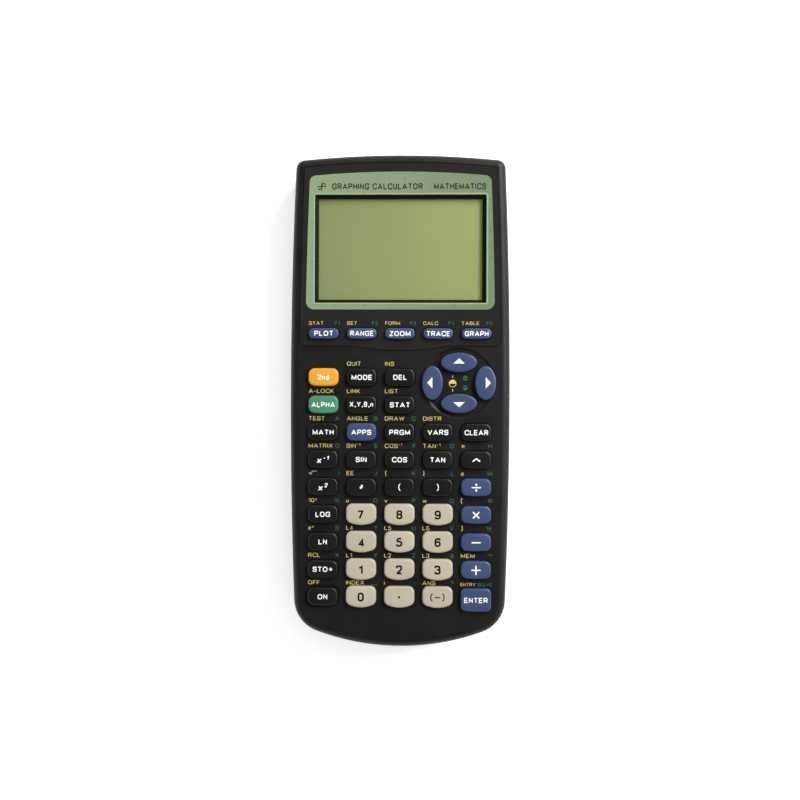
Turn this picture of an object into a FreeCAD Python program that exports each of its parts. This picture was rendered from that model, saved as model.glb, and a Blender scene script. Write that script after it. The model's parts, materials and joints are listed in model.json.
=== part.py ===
import FreeCAD, Part

# Graphing calculator, lying on its back. Millimetres. The origin is on the table under the middle of the
# case, +X is to the right, +Y towards the display end and +Z out of the keys.
# The driving dimensions are cells of the spreadsheet "sizes". Lengths in this file are short expressions
# over those names, so the document follows the sheet.

import math
import os
import re

import Sketcher
from FreeCAD import Placement, Rotation, Vector

SIZES = {
    # the case seen from above: two long side arcs, a shallow top arc and a rounder bottom arc
    "case_length": 185.0,
    "case_half_width": 41.32,
    "widest_y": 4.0,
    "side_radius": 2000.0,
    "top_radius": 368.0,
    "bottom_radius": 91.0,
    "top_corner": 3.4,
    "bottom_corner": 13.0,
    # levels above the table
    "rear_face": 0.8,
    "floor_top": 2.8,
    "board_underside": 12.4,
    "parting_level": 12.6,
    "board_top": 14.0,
    "sheet_top": 15.2,
    "dome_top": 17.6,
    "flange_top": 18.8,
    "deck_underside": 19.0,
    "deck_top": 21.0,
    "key_top": 22.8,
    # case walls
    "wall": 2.0,
    "rim_radius": 3.0,
    "rear_rim_radius": 2.0,
    "parting_chamfer": 0.3,
    "lip_inset": 1.2,
    "lip_height": 1.0,
    "lip_gap": 0.1,
    # faceplate insert
    "plate_thickness": 1.2,
    "plate_side_inset": 3.4,
    "plate_top_inset": 3.2,
    "plate_top_corner": 0.9,
    "plate_bottom_corner": 2.2,
    "plate_bottom_y": 20.34,
    "plate_dip": 1.76,
    "plate_dip_radius": 91.4,
    "plate_dip_end_radius": 30.0,
    "plate_gap": 0.15,
    "plate_edge": 0.2,
    # display
    "display_y": 56.83,
    "opening_width": 64.6,
    "opening_height": 40.8,
    "view_width": 61.6,
    "view_height": 38.0,
    "bezel_land": 0.15,
    "window_width": 66.4,
    "window_height": 43.0,
    "window_thickness": 0.8,
    "glass_width": 67.0,
    "glass_height": 43.6,
    "glass_underside": 16.4,
    "glass_thickness": 1.6,
    "frame_margin": 1.2,
    "frame_fit": 0.1,
    "frame_underside": 16.2,
    "frame_thickness": 1.9,
    "driver_width": 68.0,
    "driver_height": 48.0,
    "driver_underside": 15.1,
    "driver_thickness": 1.0,
    "ribbon_width": 24.0,
    "ribbon_thickness": 0.2,
    "ribbon_high": 15.5,
    "ribbon_low": 14.05,
    "ribbon_bend_y": 31.3,
    "ribbon_end_y": 29.0,
    # key grid and key sizes
    "column_pitch": 14.3,
    "row_pitch": 10.25,
    "first_row_y": 8.55,
    "function_row_y": 24.93,
    "enter_y": -74.4,
    "cursor_x": 22.09,
    "cursor_y": 6.54,
    "cursor_reach_x": 9.9,
    "cursor_reach_y": 7.66,
    "plain_width": 11.2,
    "plain_height": 6.7,
    "plain_corner": 2.3,
    "plain_bottom": 45.0,
    "number_width": 11.3,
    "number_height": 8.0,
    "number_corner": 2.3,
    "number_bottom": 11.0,
    "function_width": 11.2,
    "function_height": 4.1,
    "function_corner": 1.8,
    "function_bottom": 60.0,
    "enter_width": 11.4,
    "enter_height": 8.6,
    "enter_corner": 1.8,
    "enter_bottom": 60.0,
    "cursor_flat_width": 13.6,
    "cursor_flat_height": 7.4,
    "cursor_upright_width": 7.9,
    "cursor_upright_height": 12.8,
    "key_clearance": 0.22,
    "flange_margin": 0.6,
    "key_edge": 0.7,
    "dish_radius": 13.3,
    "dish_depth": 0.35,
    "dish_slope": 0.8,
    "on_recess_margin": 0.95,
    "on_recess_depth": 0.35,
    # dome sheet and main board
    "sheet_half_width": 34.2,
    "sheet_end_y": -79.4,
    "sheet_start_y": 28.3,
    "dome_foot_radius": 2.9,
    "dome_slope": 20.0,
    "board_half_width": 34.6,
    "board_end_y": -80.0,
    "board_start_y": 31.5,
    "tongue_half_width": 18.0,
    "tongue_end_y": -87.0,
    "board_screw_x": 21.45,
    "board_screw_top_y": 29.9,
    "board_screw_low_x": 14.3,
    "board_screw_low_y": -83.5,
    "board_hole_radius": 1.1,
    "board_boss_radius": 1.5,
    "board_pilot_radius": 0.8,
    "board_pilot_depth": 3.5,
    # on the board's underside
    "processor_x": 2.0,
    "processor_y": -22.0,
    "processor_width": 16.0,
    "processor_length": 16.0,
    "processor_height": 1.6,
    "memory_x": -17.0,
    "memory_y": -27.0,
    "memory_width": 10.0,
    "memory_length": 14.0,
    "memory_height": 1.2,
    "interface_x": 19.0,
    "interface_y": -23.0,
    "interface_width": 10.0,
    "interface_length": 10.0,
    "interface_height": 1.4,
    "regulator_x": 21.0,
    "regulator_y": 16.0,
    "regulator_width": 6.0,
    "regulator_length": 8.0,
    "regulator_height": 2.0,
    "capacitor_x": -20.0,
    "capacitor_y": 14.0,
    "capacitor_radius": 3.0,
    "capacitor_height": 7.0,
    "crystal_x": 2.0,
    "crystal_y": -42.0,
    "crystal_radius": 1.6,
    "crystal_height": 5.0,
    # 2.5 mm link jack
    "jack_axis": 9.4,
    "jack_mouth_y": -90.3,
    "jack_width": 7.0,
    "jack_length": 12.0,
    "jack_bore_radius": 1.25,
    "jack_bore_depth": 11.5,
    "port_radius": 2.8,
    # case screws
    "screw_top_x": 35.6,
    "screw_top_y": 84.0,
    "screw_middle_x": 37.0,
    "screw_middle_y": -6.8,
    "screw_low_x": 29.5,
    "screw_low_y": -82.3,
    "boss_foot": 12.0,
    "boss_radius": 2.1,
    "pilot_radius": 1.0,
    "pilot_depth": 5.5,
    "tube_radius": 3.2,
    "recess_radius": 2.0,
    "recess_top": 5.0,
    "shank_hole_radius": 1.2,
    # grooves in the sides for a slide-on cover
    "groove_low": 7.0,
    "groove_height": 1.6,
    "groove_depth": 0.9,
    "groove_end_y": -65.0,
    "groove_outside": 46.0,
    "groove_start_y": 96.0,
    # battery bay
    "bay_half_width": 32.2,
    "bay_low_y": 33.1,
    "bay_high_y": 83.2,
    "bay_wall": 1.2,
    "bay_ceiling": 13.8,
    "bay_top": 15.0,
    "cell_radius": 5.25,
    "cell_length": 43.7,
    "cell_level": 8.25,
    "cell_pitch": 10.6,
    "first_cell_x": -25.9,
    "cell_shift": 0.9,
    "nub_radius": 1.9,
    "nub_length": 0.8,
    "coin_radius": 8.0,
    "coin_thickness": 1.6,
    "coin_level": 5.0,
    "coin_x": 22.3,
    "coin_y": 64.0,
    "pedestal_radius": 8.8,
    "clip_width": 4.0,
    "clip_thickness": 0.3,
    "clip_fit": 0.1,
    "clip_leg": 3.0,
    # battery door
    "rebate_half_width": 33.0,
    "rebate_low_y": 34.0,
    "rebate_high_y": 83.5,
    "rebate_depth": 1.1,
    "ledge": 1.25,
    "door_gap": 0.2,
    "door_skin": 1.0,
    "tab_width": 3.0,
    "tab_low": 3.15,
    "tab_top": 4.2,
    "tab_tip_y": 33.4,
    "tab_neck_y": 36.0,
    "tab_root_y": 37.4,
    "tab_left_x": -20.6,
    "tab_right_x": 12.5,
    "grip_y": 76.0,
    "grip_width": 20.0,
    "grip_height": 9.0,
    "grip_depth": 0.7,
    "grip_bar_width": 11.0,
    "grip_bar_height": 0.8,
    "grip_bar_pitch": 1.9,
    "grip_bar_rise": 0.5,
    # feet
    "foot_x": 24.0,
    "foot_top_y": 87.0,
    "foot_low_y": -80.5,
    "foot_radius": 2.8,
    "foot_height": 1.1,
    "foot_fit": 0.1,
    "foot_edge": 0.3,
    # screws, springs and contact plates
    "screw_head_radius": 1.85,
    "screw_head_height": 1.5,
    "screw_shank_radius": 0.95,
    "screw_length": 13.0,
    "small_head_radius": 1.6,
    "small_head_height": 1.0,
    "small_shank_radius": 0.75,
    "small_length": 5.5,
    "slot_length": 2.2,
    "slot_width": 0.5,
    "slot_depth": 0.6,
    "spring_radius": 2.6,
    "spring_wire": 0.3,
    "spring_pitch": 1.1,
    "spring_height": 2.2,
    "contact_width": 7.6,
    "contact_height": 6.6,
    "contact_thickness": 0.3,
}

# the sketch geometry whose first point is the sketch's own origin
ORIGIN = -1
# lengths and volumes below this count as nothing
SMALL = 1e-3
WORD = re.compile("[a-z_]+")

doc = FreeCAD.newDocument("graphing_calculator")
sheet = doc.addObject("Spreadsheet::Sheet", "sizes")


# ---------------------------------------------------------------- the sheet


def fill_sheet():
    """One row per driving dimension: its name in column A and its number, with that alias, in column B."""
    for row, (name, number) in enumerate(SIZES.items(), start=1):
        sheet.set(f"A{row}", name)
        sheet.set(f"B{row}", str(number))
        sheet.setAlias(f"B{row}", name)
    doc.recompute()


def linked(expression):
    """The expression with each of the sheet's names pointed at the sheet."""
    return WORD.sub(lambda word: f"sizes.{word[0]}" if word[0] in SIZES else word[0], expression)


def value(expression):
    """The expression's number, for the geometry that a sketch starts from."""
    numbers = WORD.sub(lambda word: f"({SIZES[word[0]]})" if word[0] in SIZES else word[0], expression)
    return FreeCAD.Units.parseQuantity(numbers).Value


# ---------------------------------------------------------------- sketches


def new_body(name):
    body = doc.addObject("PartDesign::Body", name)
    body.Label = name
    return body


def new_sketch(body, name, level="0", role="XY_Plane"):
    """A sketch parallel to one of the body's own origin planes, at a height along that plane's normal."""
    plane = next(feature for feature in body.Origin.OriginFeatures if feature.Role == role)
    sketch = body.newObject("Sketcher::SketchObject", f"{body.Name}_{name}")
    sketch.AttachmentSupport = [(plane, "")]
    sketch.MapMode = "FlatFace"
    sketch.setExpression("AttachmentOffset.Base.z", linked(level))
    return sketch


def constrain(sketch, relations, dimensions):
    """Adds constraints in one go. A dimension is (expression, kind, where...), and follows the sheet."""
    sized = [Sketcher.Constraint(kind, *where, value(size)) for size, kind, *where in dimensions]
    indices = sketch.addConstraint(relations + sized)
    for index, (size, *rest) in zip(indices[len(relations) :], dimensions):
        sketch.setExpression(f"Constraints[{index}]", linked(size))


def placed_arc(index, x, y, radius):
    """The dimensions that fix a circle's or an arc's centre and radius."""
    return [(radius, "Radius", index), (x, "DistanceX", index, 3), (y, "DistanceY", index, 3)]


def add_circle(sketch, x, y, radius):
    circle = Part.Circle(Vector(value(x), value(y), 0), Vector(0, 0, 1), value(radius))
    constrain(sketch, [], placed_arc(sketch.addGeometry(circle, False), x, y, radius))


def add_ellipse(sketch, x, y, width, height):
    """An ellipse with its axes along the sketch's axes."""
    wide, tall = value(width) / 2, value(height) / 2
    centre = Vector(value(x), value(y), 0)
    tips = centre + Vector(wide, 0, 0), centre + Vector(0, tall, 0)
    major_first = wide > tall
    ends = tips if major_first else (tips[1], centre - Vector(wide, 0, 0))
    index = sketch.addGeometry(Part.Ellipse(*ends, centre), False)
    sketch.exposeInternalGeometry(index)
    major, minor = index + 1, index + 2
    constrain(
        sketch,
        [Sketcher.Constraint("Horizontal" if major_first else "Vertical", major)],
        [
            (width if major_first else height, "Distance", major),
            (height if major_first else width, "Distance", minor),
            (x, "DistanceX", index, 3),
            (y, "DistanceY", index, 3),
        ],
    )


def add_rectangle(sketch, x, y, width, height):
    """A rectangle centred on (x, y)."""
    left, low = f"{x} - ({width}) / 2", f"{y} - ({height}) / 2"
    start = Vector(value(left), value(low), 0)
    across, up = Vector(value(width), 0, 0), Vector(0, value(height), 0)
    corners = [start, start + across, start + across + up, start + up]
    first = sketch.GeometryCount
    sketch.addGeometry([Part.LineSegment(corners[i - 1], corners[i]) for i in (1, 2, 3, 0)], False)
    joins = [
        Sketcher.Constraint("Coincident", first + i, 2, first + (i + 1) % 4, 1) for i in range(4)
    ]
    levels = [Sketcher.Constraint("Horizontal", first + i) for i in (0, 2)]
    uprights = [Sketcher.Constraint("Vertical", first + i) for i in (1, 3)]
    constrain(
        sketch,
        joins + levels + uprights,
        [
            (width, "DistanceX", first, 1, first, 2),
            (height, "DistanceY", first + 1, 1, first + 1, 2),
            (left, "DistanceX", first, 1),
            (low, "DistanceY", first, 1),
        ],
    )


def add_span(sketch, low_x, high_x, low_y, high_y):
    """A rectangle given by its four sides."""
    x, y = f"(({low_x}) + ({high_x})) / 2", f"(({low_y}) + ({high_y})) / 2"
    add_rectangle(sketch, x, y, f"({high_x}) - ({low_x})", f"({high_y}) - ({low_y})")


def arc(centre, radius, start, end):
    """The counter-clockwise arc about centre from the direction of start to that of end."""
    angles = [math.atan2(point[1] - centre[1], point[0] - centre[0]) for point in (start, end)]
    if angles[1] < angles[0]:
        angles[1] += 2 * math.pi
    return Part.ArcOfCircle(Part.Circle(Vector(*centre, 0), Vector(0, 0, 1), radius), *angles)


def along(centre, towards, distance):
    """The point at a distance from centre, on the ray to another point."""
    gap = math.dist(centre, towards)
    return tuple(c + (t - c) * distance / gap for c, t in zip(centre, towards))


def crossing(first, first_radius, second, second_radius, near):
    """Where two circles cross, taking the crossing nearer to a point."""
    gap = math.dist(first, second)
    reach = (gap**2 + first_radius**2 - second_radius**2) / (2 * gap)
    side = math.sqrt(first_radius**2 - reach**2)
    across = (second[0] - first[0]) / gap, (second[1] - first[1]) / gap
    foot = first[0] + across[0] * reach, first[1] + across[1] * reach
    both = [(foot[0] - s * across[1] * side, foot[1] + s * across[0] * side) for s in (1, -1)]
    return min(both, key=lambda point: math.dist(point, near))


def smooth_joins(first, ends):
    """Tangent joins round a closed loop. ends holds, for each piece, which of its ends comes first."""
    count = len(ends)
    return [
        Sketcher.Constraint("Tangent", first + i, 3 - ends[i], first + (i + 1) % count, ends[(i + 1) % count])
        for i in range(count)
    ]


def case_arcs():
    """Centre and radius, as expressions, of the right, top, left and bottom arcs of the case."""
    return [
        ("case_half_width - side_radius", "widest_y", "side_radius"),
        ("0", "case_length / 2 - top_radius", "top_radius"),
        ("side_radius - case_half_width", "widest_y", "side_radius"),
        ("0", "bottom_radius - case_length / 2", "bottom_radius"),
    ]


def add_case_outline(sketch, inset="0"):
    """The case outline moved inwards by inset: four long arcs joined by four tangent corner arcs."""
    sides = case_arcs()
    corners = ["top_corner", "top_corner", "bottom_corner", "bottom_corner"]
    quarters = [(1, 1), (-1, 1), (-1, -1), (1, -1)]
    shrink = value(inset)
    centres = [(value(x), value(y)) for x, y, radius in sides]
    radii = [value(radius) for x, y, radius in sides]
    corner_centres = []
    for i, (corner, quarter) in enumerate(zip(corners, quarters)):
        near = quarter[0] * value("case_half_width"), quarter[1] * value("case_length / 2")
        after = (i + 1) % 4
        rounding = value(corner)
        reach = radii[i] - rounding, radii[after] - rounding
        corner_centres.append(crossing(centres[i], reach[0], centres[after], reach[1], near))
    first = sketch.GeometryCount
    for i in range(4):
        start = along(centres[i], corner_centres[i - 1], radii[i] - shrink)
        end = along(centres[i], corner_centres[i], radii[i] - shrink)
        onward = along(centres[(i + 1) % 4], corner_centres[i], radii[(i + 1) % 4] - shrink)
        sketch.addGeometry(arc(centres[i], radii[i] - shrink, start, end), False)
        sketch.addGeometry(arc(corner_centres[i], value(corners[i]) - shrink, end, onward), False)
    dimensions = []
    for i, (x, y, radius) in enumerate(sides):
        dimensions += placed_arc(first + 2 * i, x, y, f"{radius} - ({inset})")
        dimensions.append((f"{corners[i]} - ({inset})", "Radius", first + 2 * i + 1))
    constrain(sketch, smooth_joins(first, [1] * 8), dimensions)


def add_cushion(sketch, family, x, y, grow="0"):
    """A key seen from above: flat top edge, upright sides, rounded corners and a bowed bottom edge."""
    corner, bottom = f"{family}_corner + ({grow})", f"{family}_bottom + ({grow})"
    side = f"{family}_width / 2 + ({grow})"
    top = f"{y} + {family}_height / 2 + ({grow})"
    bow_centre = f"{y} - {family}_height / 2 + {family}_bottom"
    half, r, big = value(side), value(corner), value(bottom)
    cx, top_y, bow_y = value(x), value(top), value(bow_centre)
    corner_y = bow_y - math.sqrt((big - r) ** 2 - (half - r) ** 2)
    right, left = cx + half, cx - half
    low_right, low_left = (right - r, corner_y), (left + r, corner_y)
    bow_right, bow_left = (along((cx, bow_y), p, big) for p in (low_right, low_left))
    upper_right, upper_left = (right - r, top_y - r), (left + r, top_y - r)
    first = sketch.GeometryCount
    sketch.addGeometry(
        [
            Part.LineSegment(Vector(right - r, top_y, 0), Vector(left + r, top_y, 0)),
            arc(upper_left, r, (left + r, top_y), (left, top_y - r)),
            Part.LineSegment(Vector(left, top_y - r, 0), Vector(left, corner_y, 0)),
            arc(low_left, r, (left, corner_y), bow_left),
            arc((cx, bow_y), big, bow_left, bow_right),
            arc(low_right, r, bow_right, (right, corner_y)),
            Part.LineSegment(Vector(right, corner_y, 0), Vector(right, top_y - r, 0)),
            arc(upper_right, r, (right, top_y - r), (right - r, top_y)),
        ],
        False,
    )
    relations = [
        Sketcher.Constraint("Horizontal", first),
        Sketcher.Constraint("Vertical", first + 2),
        Sketcher.Constraint("Vertical", first + 6),
    ]
    relations += [Sketcher.Constraint("Equal", first + 1, first + i) for i in (3, 5, 7)]
    dimensions = [
        (corner, "Radius", first + 1),
        (top, "DistanceY", first, 1),
        (f"{x} - ({side})", "DistanceX", first + 2, 1),
        (f"2 * ({side})", "DistanceX", first + 2, 1, first + 6, 2),
    ]
    dimensions += placed_arc(first + 4, x, bow_centre, bottom)
    constrain(sketch, smooth_joins(first, [1] * 8) + relations, dimensions)


def add_key_outline(sketch, family, x, y, grow="0"):
    if family.startswith("cursor"):
        width, height = f"{family}_width + 2 * ({grow})", f"{family}_height + 2 * ({grow})"
        add_ellipse(sketch, x, y, width, height)
    else:
        add_cushion(sketch, family, x, y, grow)


def add_plate_outline(sketch, grow="0"):
    """The faceplate: sides and top parallel to the case, and a bottom edge that dips in its middle."""
    g = value(grow)
    right_side, top_side, left_side, _ = case_arcs()
    side_r = value("side_radius - plate_side_inset") + g
    top_r = value("top_radius - plate_top_inset") + g
    right_c, left_c = ((value(s[0]), value(s[1])) for s in (right_side, left_side))
    top_c = value(top_side[0]), value(top_side[1])
    top_corner, low_corner = value("plate_top_corner") + g, value("plate_bottom_corner") + g
    bottom_y = value("plate_bottom_y") - g
    dip_r, end_r = value("plate_dip_radius") + g, value("plate_dip_end_radius") - g
    dip_c = 0.0, value("plate_bottom_y - plate_dip + plate_dip_radius")
    end_y = bottom_y - end_r
    end_x = math.sqrt((dip_r + end_r) ** 2 - (dip_c[1] - end_y) ** 2)
    corner_y = bottom_y + low_corner
    reach = side_r - low_corner
    corner_x = right_c[0] + math.sqrt(reach**2 - (corner_y - right_c[1]) ** 2)
    case_corner = value("case_half_width"), value("case_length / 2")
    upper = crossing(right_c, side_r - top_corner, top_c, top_r - top_corner, case_corner)
    upper_left = -upper[0], upper[1]
    low_right, low_left = (corner_x, corner_y), (-corner_x, corner_y)
    end_right, end_left = (end_x, end_y), (-end_x, end_y)
    dip_right, dip_left = along(dip_c, end_right, dip_r), along(dip_c, end_left, dip_r)
    first = sketch.GeometryCount
    sketch.addGeometry(
        [
            arc(right_c, side_r, along(right_c, low_right, side_r), along(right_c, upper, side_r)),
            arc(upper, top_corner, along(right_c, upper, side_r), along(top_c, upper, top_r)),
            arc(top_c, top_r, along(top_c, upper, top_r), along(top_c, upper_left, top_r)),
            arc(upper_left, top_corner, along(top_c, upper_left, top_r), along(left_c, upper_left, side_r)),
            arc(left_c, side_r, along(left_c, upper_left, side_r), along(left_c, low_left, side_r)),
            arc(low_left, low_corner, along(left_c, low_left, side_r), (-corner_x, bottom_y)),
            Part.LineSegment(Vector(-corner_x, bottom_y, 0), Vector(-end_x, bottom_y, 0)),
            arc(end_left, end_r, dip_left, (-end_x, bottom_y)),
            arc(dip_c, dip_r, dip_left, dip_right),
            arc(end_right, end_r, (end_x, bottom_y), dip_right),
            Part.LineSegment(Vector(end_x, bottom_y, 0), Vector(corner_x, bottom_y, 0)),
            arc(low_right, low_corner, (corner_x, bottom_y), along(right_c, low_right, side_r)),
        ],
        False,
    )
    # the two end arcs bend the other way, so the loop runs through them from their far ends
    joins = smooth_joins(first, [1, 1, 1, 1, 1, 1, 1, 2, 1, 2, 1, 1])
    levels = [Sketcher.Constraint("Horizontal", first + index) for index in (6, 10)]
    side_radius = f"side_radius - plate_side_inset + ({grow})"
    dimensions = placed_arc(first, *right_side[:2], side_radius)
    dimensions += placed_arc(first + 2, *top_side[:2], f"top_radius - plate_top_inset + ({grow})")
    dimensions += placed_arc(first + 4, *left_side[:2], side_radius)
    dip_centre = "plate_bottom_y - plate_dip + plate_dip_radius"
    dimensions += placed_arc(first + 8, "0", dip_centre, f"plate_dip_radius + ({grow})")
    dimensions += [(f"plate_top_corner + ({grow})", "Radius", first + i) for i in (1, 3)]
    dimensions += [(f"plate_bottom_corner + ({grow})", "Radius", first + i) for i in (5, 11)]
    dimensions += [(f"plate_dip_end_radius - ({grow})", "Radius", first + i) for i in (7, 9)]
    dimensions += [(f"plate_bottom_y - ({grow})", "DistanceY", first + i, 1) for i in (6, 10)]
    constrain(sketch, joins + levels, dimensions)


# ---------------------------------------------------------------- features


def extrude(body, kind, sketch, length, upwards=True, slope=None):
    """Pads or pockets a sketch along its normal, or against it, and makes sure that it had an effect."""
    before = body.Shape.Volume if body.Tip else 0.0
    feature = body.newObject(f"PartDesign::{kind}", f"{sketch.Name}_{kind.lower()}")
    feature.Profile = sketch
    feature.setExpression("Length", linked(length))
    feature.Reversed = upwards == (kind == "Pocket")
    if slope:
        feature.setExpression("TaperAngle", linked(slope))
    doc.recompute()
    change = body.Shape.Volume - before
    if (change > 0) != (kind == "Pad") or abs(change) < SMALL:
        raise RuntimeError(f"{feature.Name} changed the volume by {change}")
    return feature


def dress_edges(body, kind, name, size, chosen):
    """Fillets or chamfers the edges of the body that pass the test chosen."""
    tip = body.Tip
    names = [f"Edge{n}" for n, edge in enumerate(tip.Shape.Edges, start=1) if chosen(edge)]
    if not names:
        raise RuntimeError(f"{body.Name} has no edges for {name}")
    feature = body.newObject(f"PartDesign::{kind}", f"{body.Name}_{name}")
    feature.Base = (tip, names)
    feature.setExpression("Radius" if kind == "Fillet" else "Size", linked(size))
    doc.recompute()


def at_level(level):
    """A test for edges that lie at a height."""
    height = value(level)
    return lambda edge: all(abs(z - height) < SMALL for z in (edge.BoundBox.ZMin, edge.BoundBox.ZMax))


def pad_circles(body, name, places, radius, low, high):
    sketch = new_sketch(body, name, low)
    for x, y in places:
        add_circle(sketch, x, y, radius)
    return extrude(body, "Pad", sketch, f"({high}) - ({low})")


def cut_circles(body, name, places, radius, low, high):
    sketch = new_sketch(body, name, low)
    for x, y in places:
        add_circle(sketch, x, y, radius)
    return extrude(body, "Pocket", sketch, f"({high}) - ({low})")


def place(item, x="0", y="0", z="0"):
    """Ties the object's place to the sheet."""
    for axis, expression in zip("xyz", (x, y, z)):
        item.setExpression(f"Placement.Base.{axis}", linked(expression))


def box(name, low_x, high_x, low_y, high_y, low_z, high_z):
    """A Part::Box given by its six sides."""
    item = doc.addObject("Part::Box", name)
    item.setExpression("Length", linked(f"({high_x}) - ({low_x})"))
    item.setExpression("Width", linked(f"({high_y}) - ({low_y})"))
    item.setExpression("Height", linked(f"({high_z}) - ({low_z})"))
    place(item, low_x, low_y, low_z)
    return item


def centred_box(name, y, width, height, low_z, high_z):
    """A Part::Box that lies evenly across the case."""
    low_y, high_y = f"{y} - ({height}) / 2", f"{y} + ({height}) / 2"
    return box(name, f"({width}) / -2", f"({width}) / 2", low_y, high_y, low_z, high_z)


def cylinder(name, radius, height):
    item = doc.addObject("Part::Cylinder", name)
    item.setExpression("Radius", linked(radius))
    item.setExpression("Height", linked(height))
    return item


def fuse(name, items):
    item = doc.addObject("Part::MultiFuse", name)
    item.Shapes = items
    return item


def group(name, items):
    """Separate solids that share one sub-part."""
    item = doc.addObject("Part::Compound", name)
    item.Label = name
    item.Links = items
    return item


# ---------------------------------------------------------------- where keys and screws stand

KEY_ROWS = [
    ["key_2nd", "key_mode", "key_delete"],
    ["key_alpha", "key_variable", "key_stat"],
    ["key_math", "key_apps", "key_program", "key_vars", "key_clear"],
    ["key_reciprocal", "key_sin", "key_cos", "key_tan", "key_power"],
    ["key_square", "key_comma", "key_open_bracket", "key_close_bracket", "key_divide"],
    ["key_log", "key_7", "key_8", "key_9", "key_multiply"],
    ["key_ln", "key_4", "key_5", "key_6", "key_minus"],
    ["key_store", "key_1", "key_2", "key_3", "key_plus"],
    ["key_on", "key_0", "key_point", "key_negate", "key_enter"],
]
NUMBER_ROWS = range(5, 9)
NUMBER_COLUMNS = range(1, 4)
ON_ROW = 8
CURSOR_KEYS = [
    ("key_up", "cursor_flat", 0, 1),
    ("key_left", "cursor_upright", -1, 0),
    ("key_right", "cursor_upright", 1, 0),
    ("key_down", "cursor_flat", 0, -1),
]


def column_x(column):
    return f"column_pitch * {column - 2}"


def row_y(row):
    return f"first_row_y - row_pitch * {row}"


def key_rows():
    """The keys of each row, and those round the cursor pad: (name, family, x, y), x and y as expressions."""
    rows = {"function": [(f"key_f{c + 1}", "function", column_x(c), "function_row_y") for c in range(5)]}
    for row, names in enumerate(KEY_ROWS):
        keys = []
        for column, name in enumerate(names):
            is_number = row in NUMBER_ROWS and column in NUMBER_COLUMNS
            family = "number" if is_number else "plain"
            y = row_y(row)
            if name == "key_enter":
                family, y = "enter", "enter_y"
            keys.append((name, family, column_x(column), y))
        rows[f"row_{row + 1}"] = keys
    rows["cursor"] = [
        (name, family, f"cursor_x + cursor_reach_x * {side}", f"cursor_y + cursor_reach_y * {up}")
        for name, family, side, up in CURSOR_KEYS
    ]
    return rows


def key_places():
    return [key for keys in key_rows().values() for key in keys]


def both_sides(x, y):
    return [(f"-1 * {x}", y), (x, y)]


CASE_SCREWS = (
    both_sides("screw_top_x", "screw_top_y")
    + both_sides("screw_middle_x", "screw_middle_y")
    + both_sides("screw_low_x", "screw_low_y")
)
BOARD_SCREWS = both_sides("board_screw_x", "board_screw_top_y") + both_sides(
    "board_screw_low_x", "board_screw_low_y"
)
FEET = both_sides("foot_x", "foot_top_y") + both_sides("foot_x", "foot_low_y")
FLOOR_LEVEL = "deck_top - plate_thickness"
CHIPS = ["processor", "memory", "interface", "regulator"]
CANS = ["capacitor", "crystal"]


# ---------------------------------------------------------------- sub-parts


def make_front_case():
    """Deck and upper side walls, with the faceplate pocket, the display opening and the key holes."""
    body = new_body("front_case")
    outline = new_sketch(body, "outline", "parting_level")
    add_case_outline(outline)
    extrude(body, "Pad", outline, "deck_top - parting_level")
    dress_edges(body, "Fillet", "rim", "rim_radius", at_level("deck_top"))
    cavity = new_sketch(body, "cavity", "parting_level")
    add_case_outline(cavity, "wall")
    extrude(body, "Pocket", cavity, "deck_underside - parting_level")
    rebate = new_sketch(body, "rebate", "parting_level")
    add_case_outline(rebate, "lip_inset - lip_gap")
    extrude(body, "Pocket", rebate, "lip_height + lip_gap")
    into_deck = "deck_underside + wall / 4"
    pad_circles(body, "bosses", CASE_SCREWS, "boss_radius", "boss_foot", into_deck)
    pad_circles(body, "board_bosses", BOARD_SCREWS, "board_boss_radius", "board_top", into_deck)
    pilot_top = "boss_foot + pilot_depth"
    cut_circles(body, "pilots", CASE_SCREWS, "pilot_radius", "boss_foot", pilot_top)
    board_pilot_top = "board_top + board_pilot_depth"
    cut_circles(body, "board_pilots", BOARD_SCREWS, "board_pilot_radius", "board_top", board_pilot_top)
    seat = new_sketch(body, "seat", "deck_top")
    add_plate_outline(seat, "plate_gap")
    extrude(body, "Pocket", seat, "plate_thickness", upwards=False)
    cut_display_bezel(body)
    cut_key_recesses(body)
    for row, keys in key_rows().items():
        holes = new_sketch(body, f"{row}_holes", "deck_top")
        for name, family, x, y in keys:
            add_key_outline(holes, family, x, y, "key_clearance")
        extrude(body, "Pocket", holes, "deck_top - deck_underside", upwards=False)
    return body


def cut_display_bezel(body):
    """The display opening, with walls that slope down from the faceplate to the edge of the view."""
    opening = new_sketch(body, "opening", FLOOR_LEVEL)
    add_rectangle(opening, "0", "display_y", "view_width", "view_height")
    extrude(body, "Pocket", opening, f"{FLOOR_LEVEL} - deck_underside", upwards=False)
    upper = new_sketch(body, "bezel_upper", FLOOR_LEVEL)
    add_rectangle(upper, "0", "display_y", "opening_width", "opening_height")
    lower = new_sketch(body, "bezel_lower", "deck_underside + bezel_land")
    add_rectangle(lower, "0", "display_y", "view_width", "view_height")
    cut_slope(body, "bezel", upper, lower)


def cut_slope(body, name, upper, lower):
    """Takes away what lies between an upper and a lower outline."""
    before = body.Shape.Volume
    slope = body.newObject("PartDesign::SubtractiveLoft", f"{body.Name}_{name}")
    slope.Profile = upper
    slope.Sections = [lower]
    doc.recompute()
    if body.Shape.Volume > before - SMALL:
        raise RuntimeError(f"{slope.Name} cut nothing")


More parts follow.
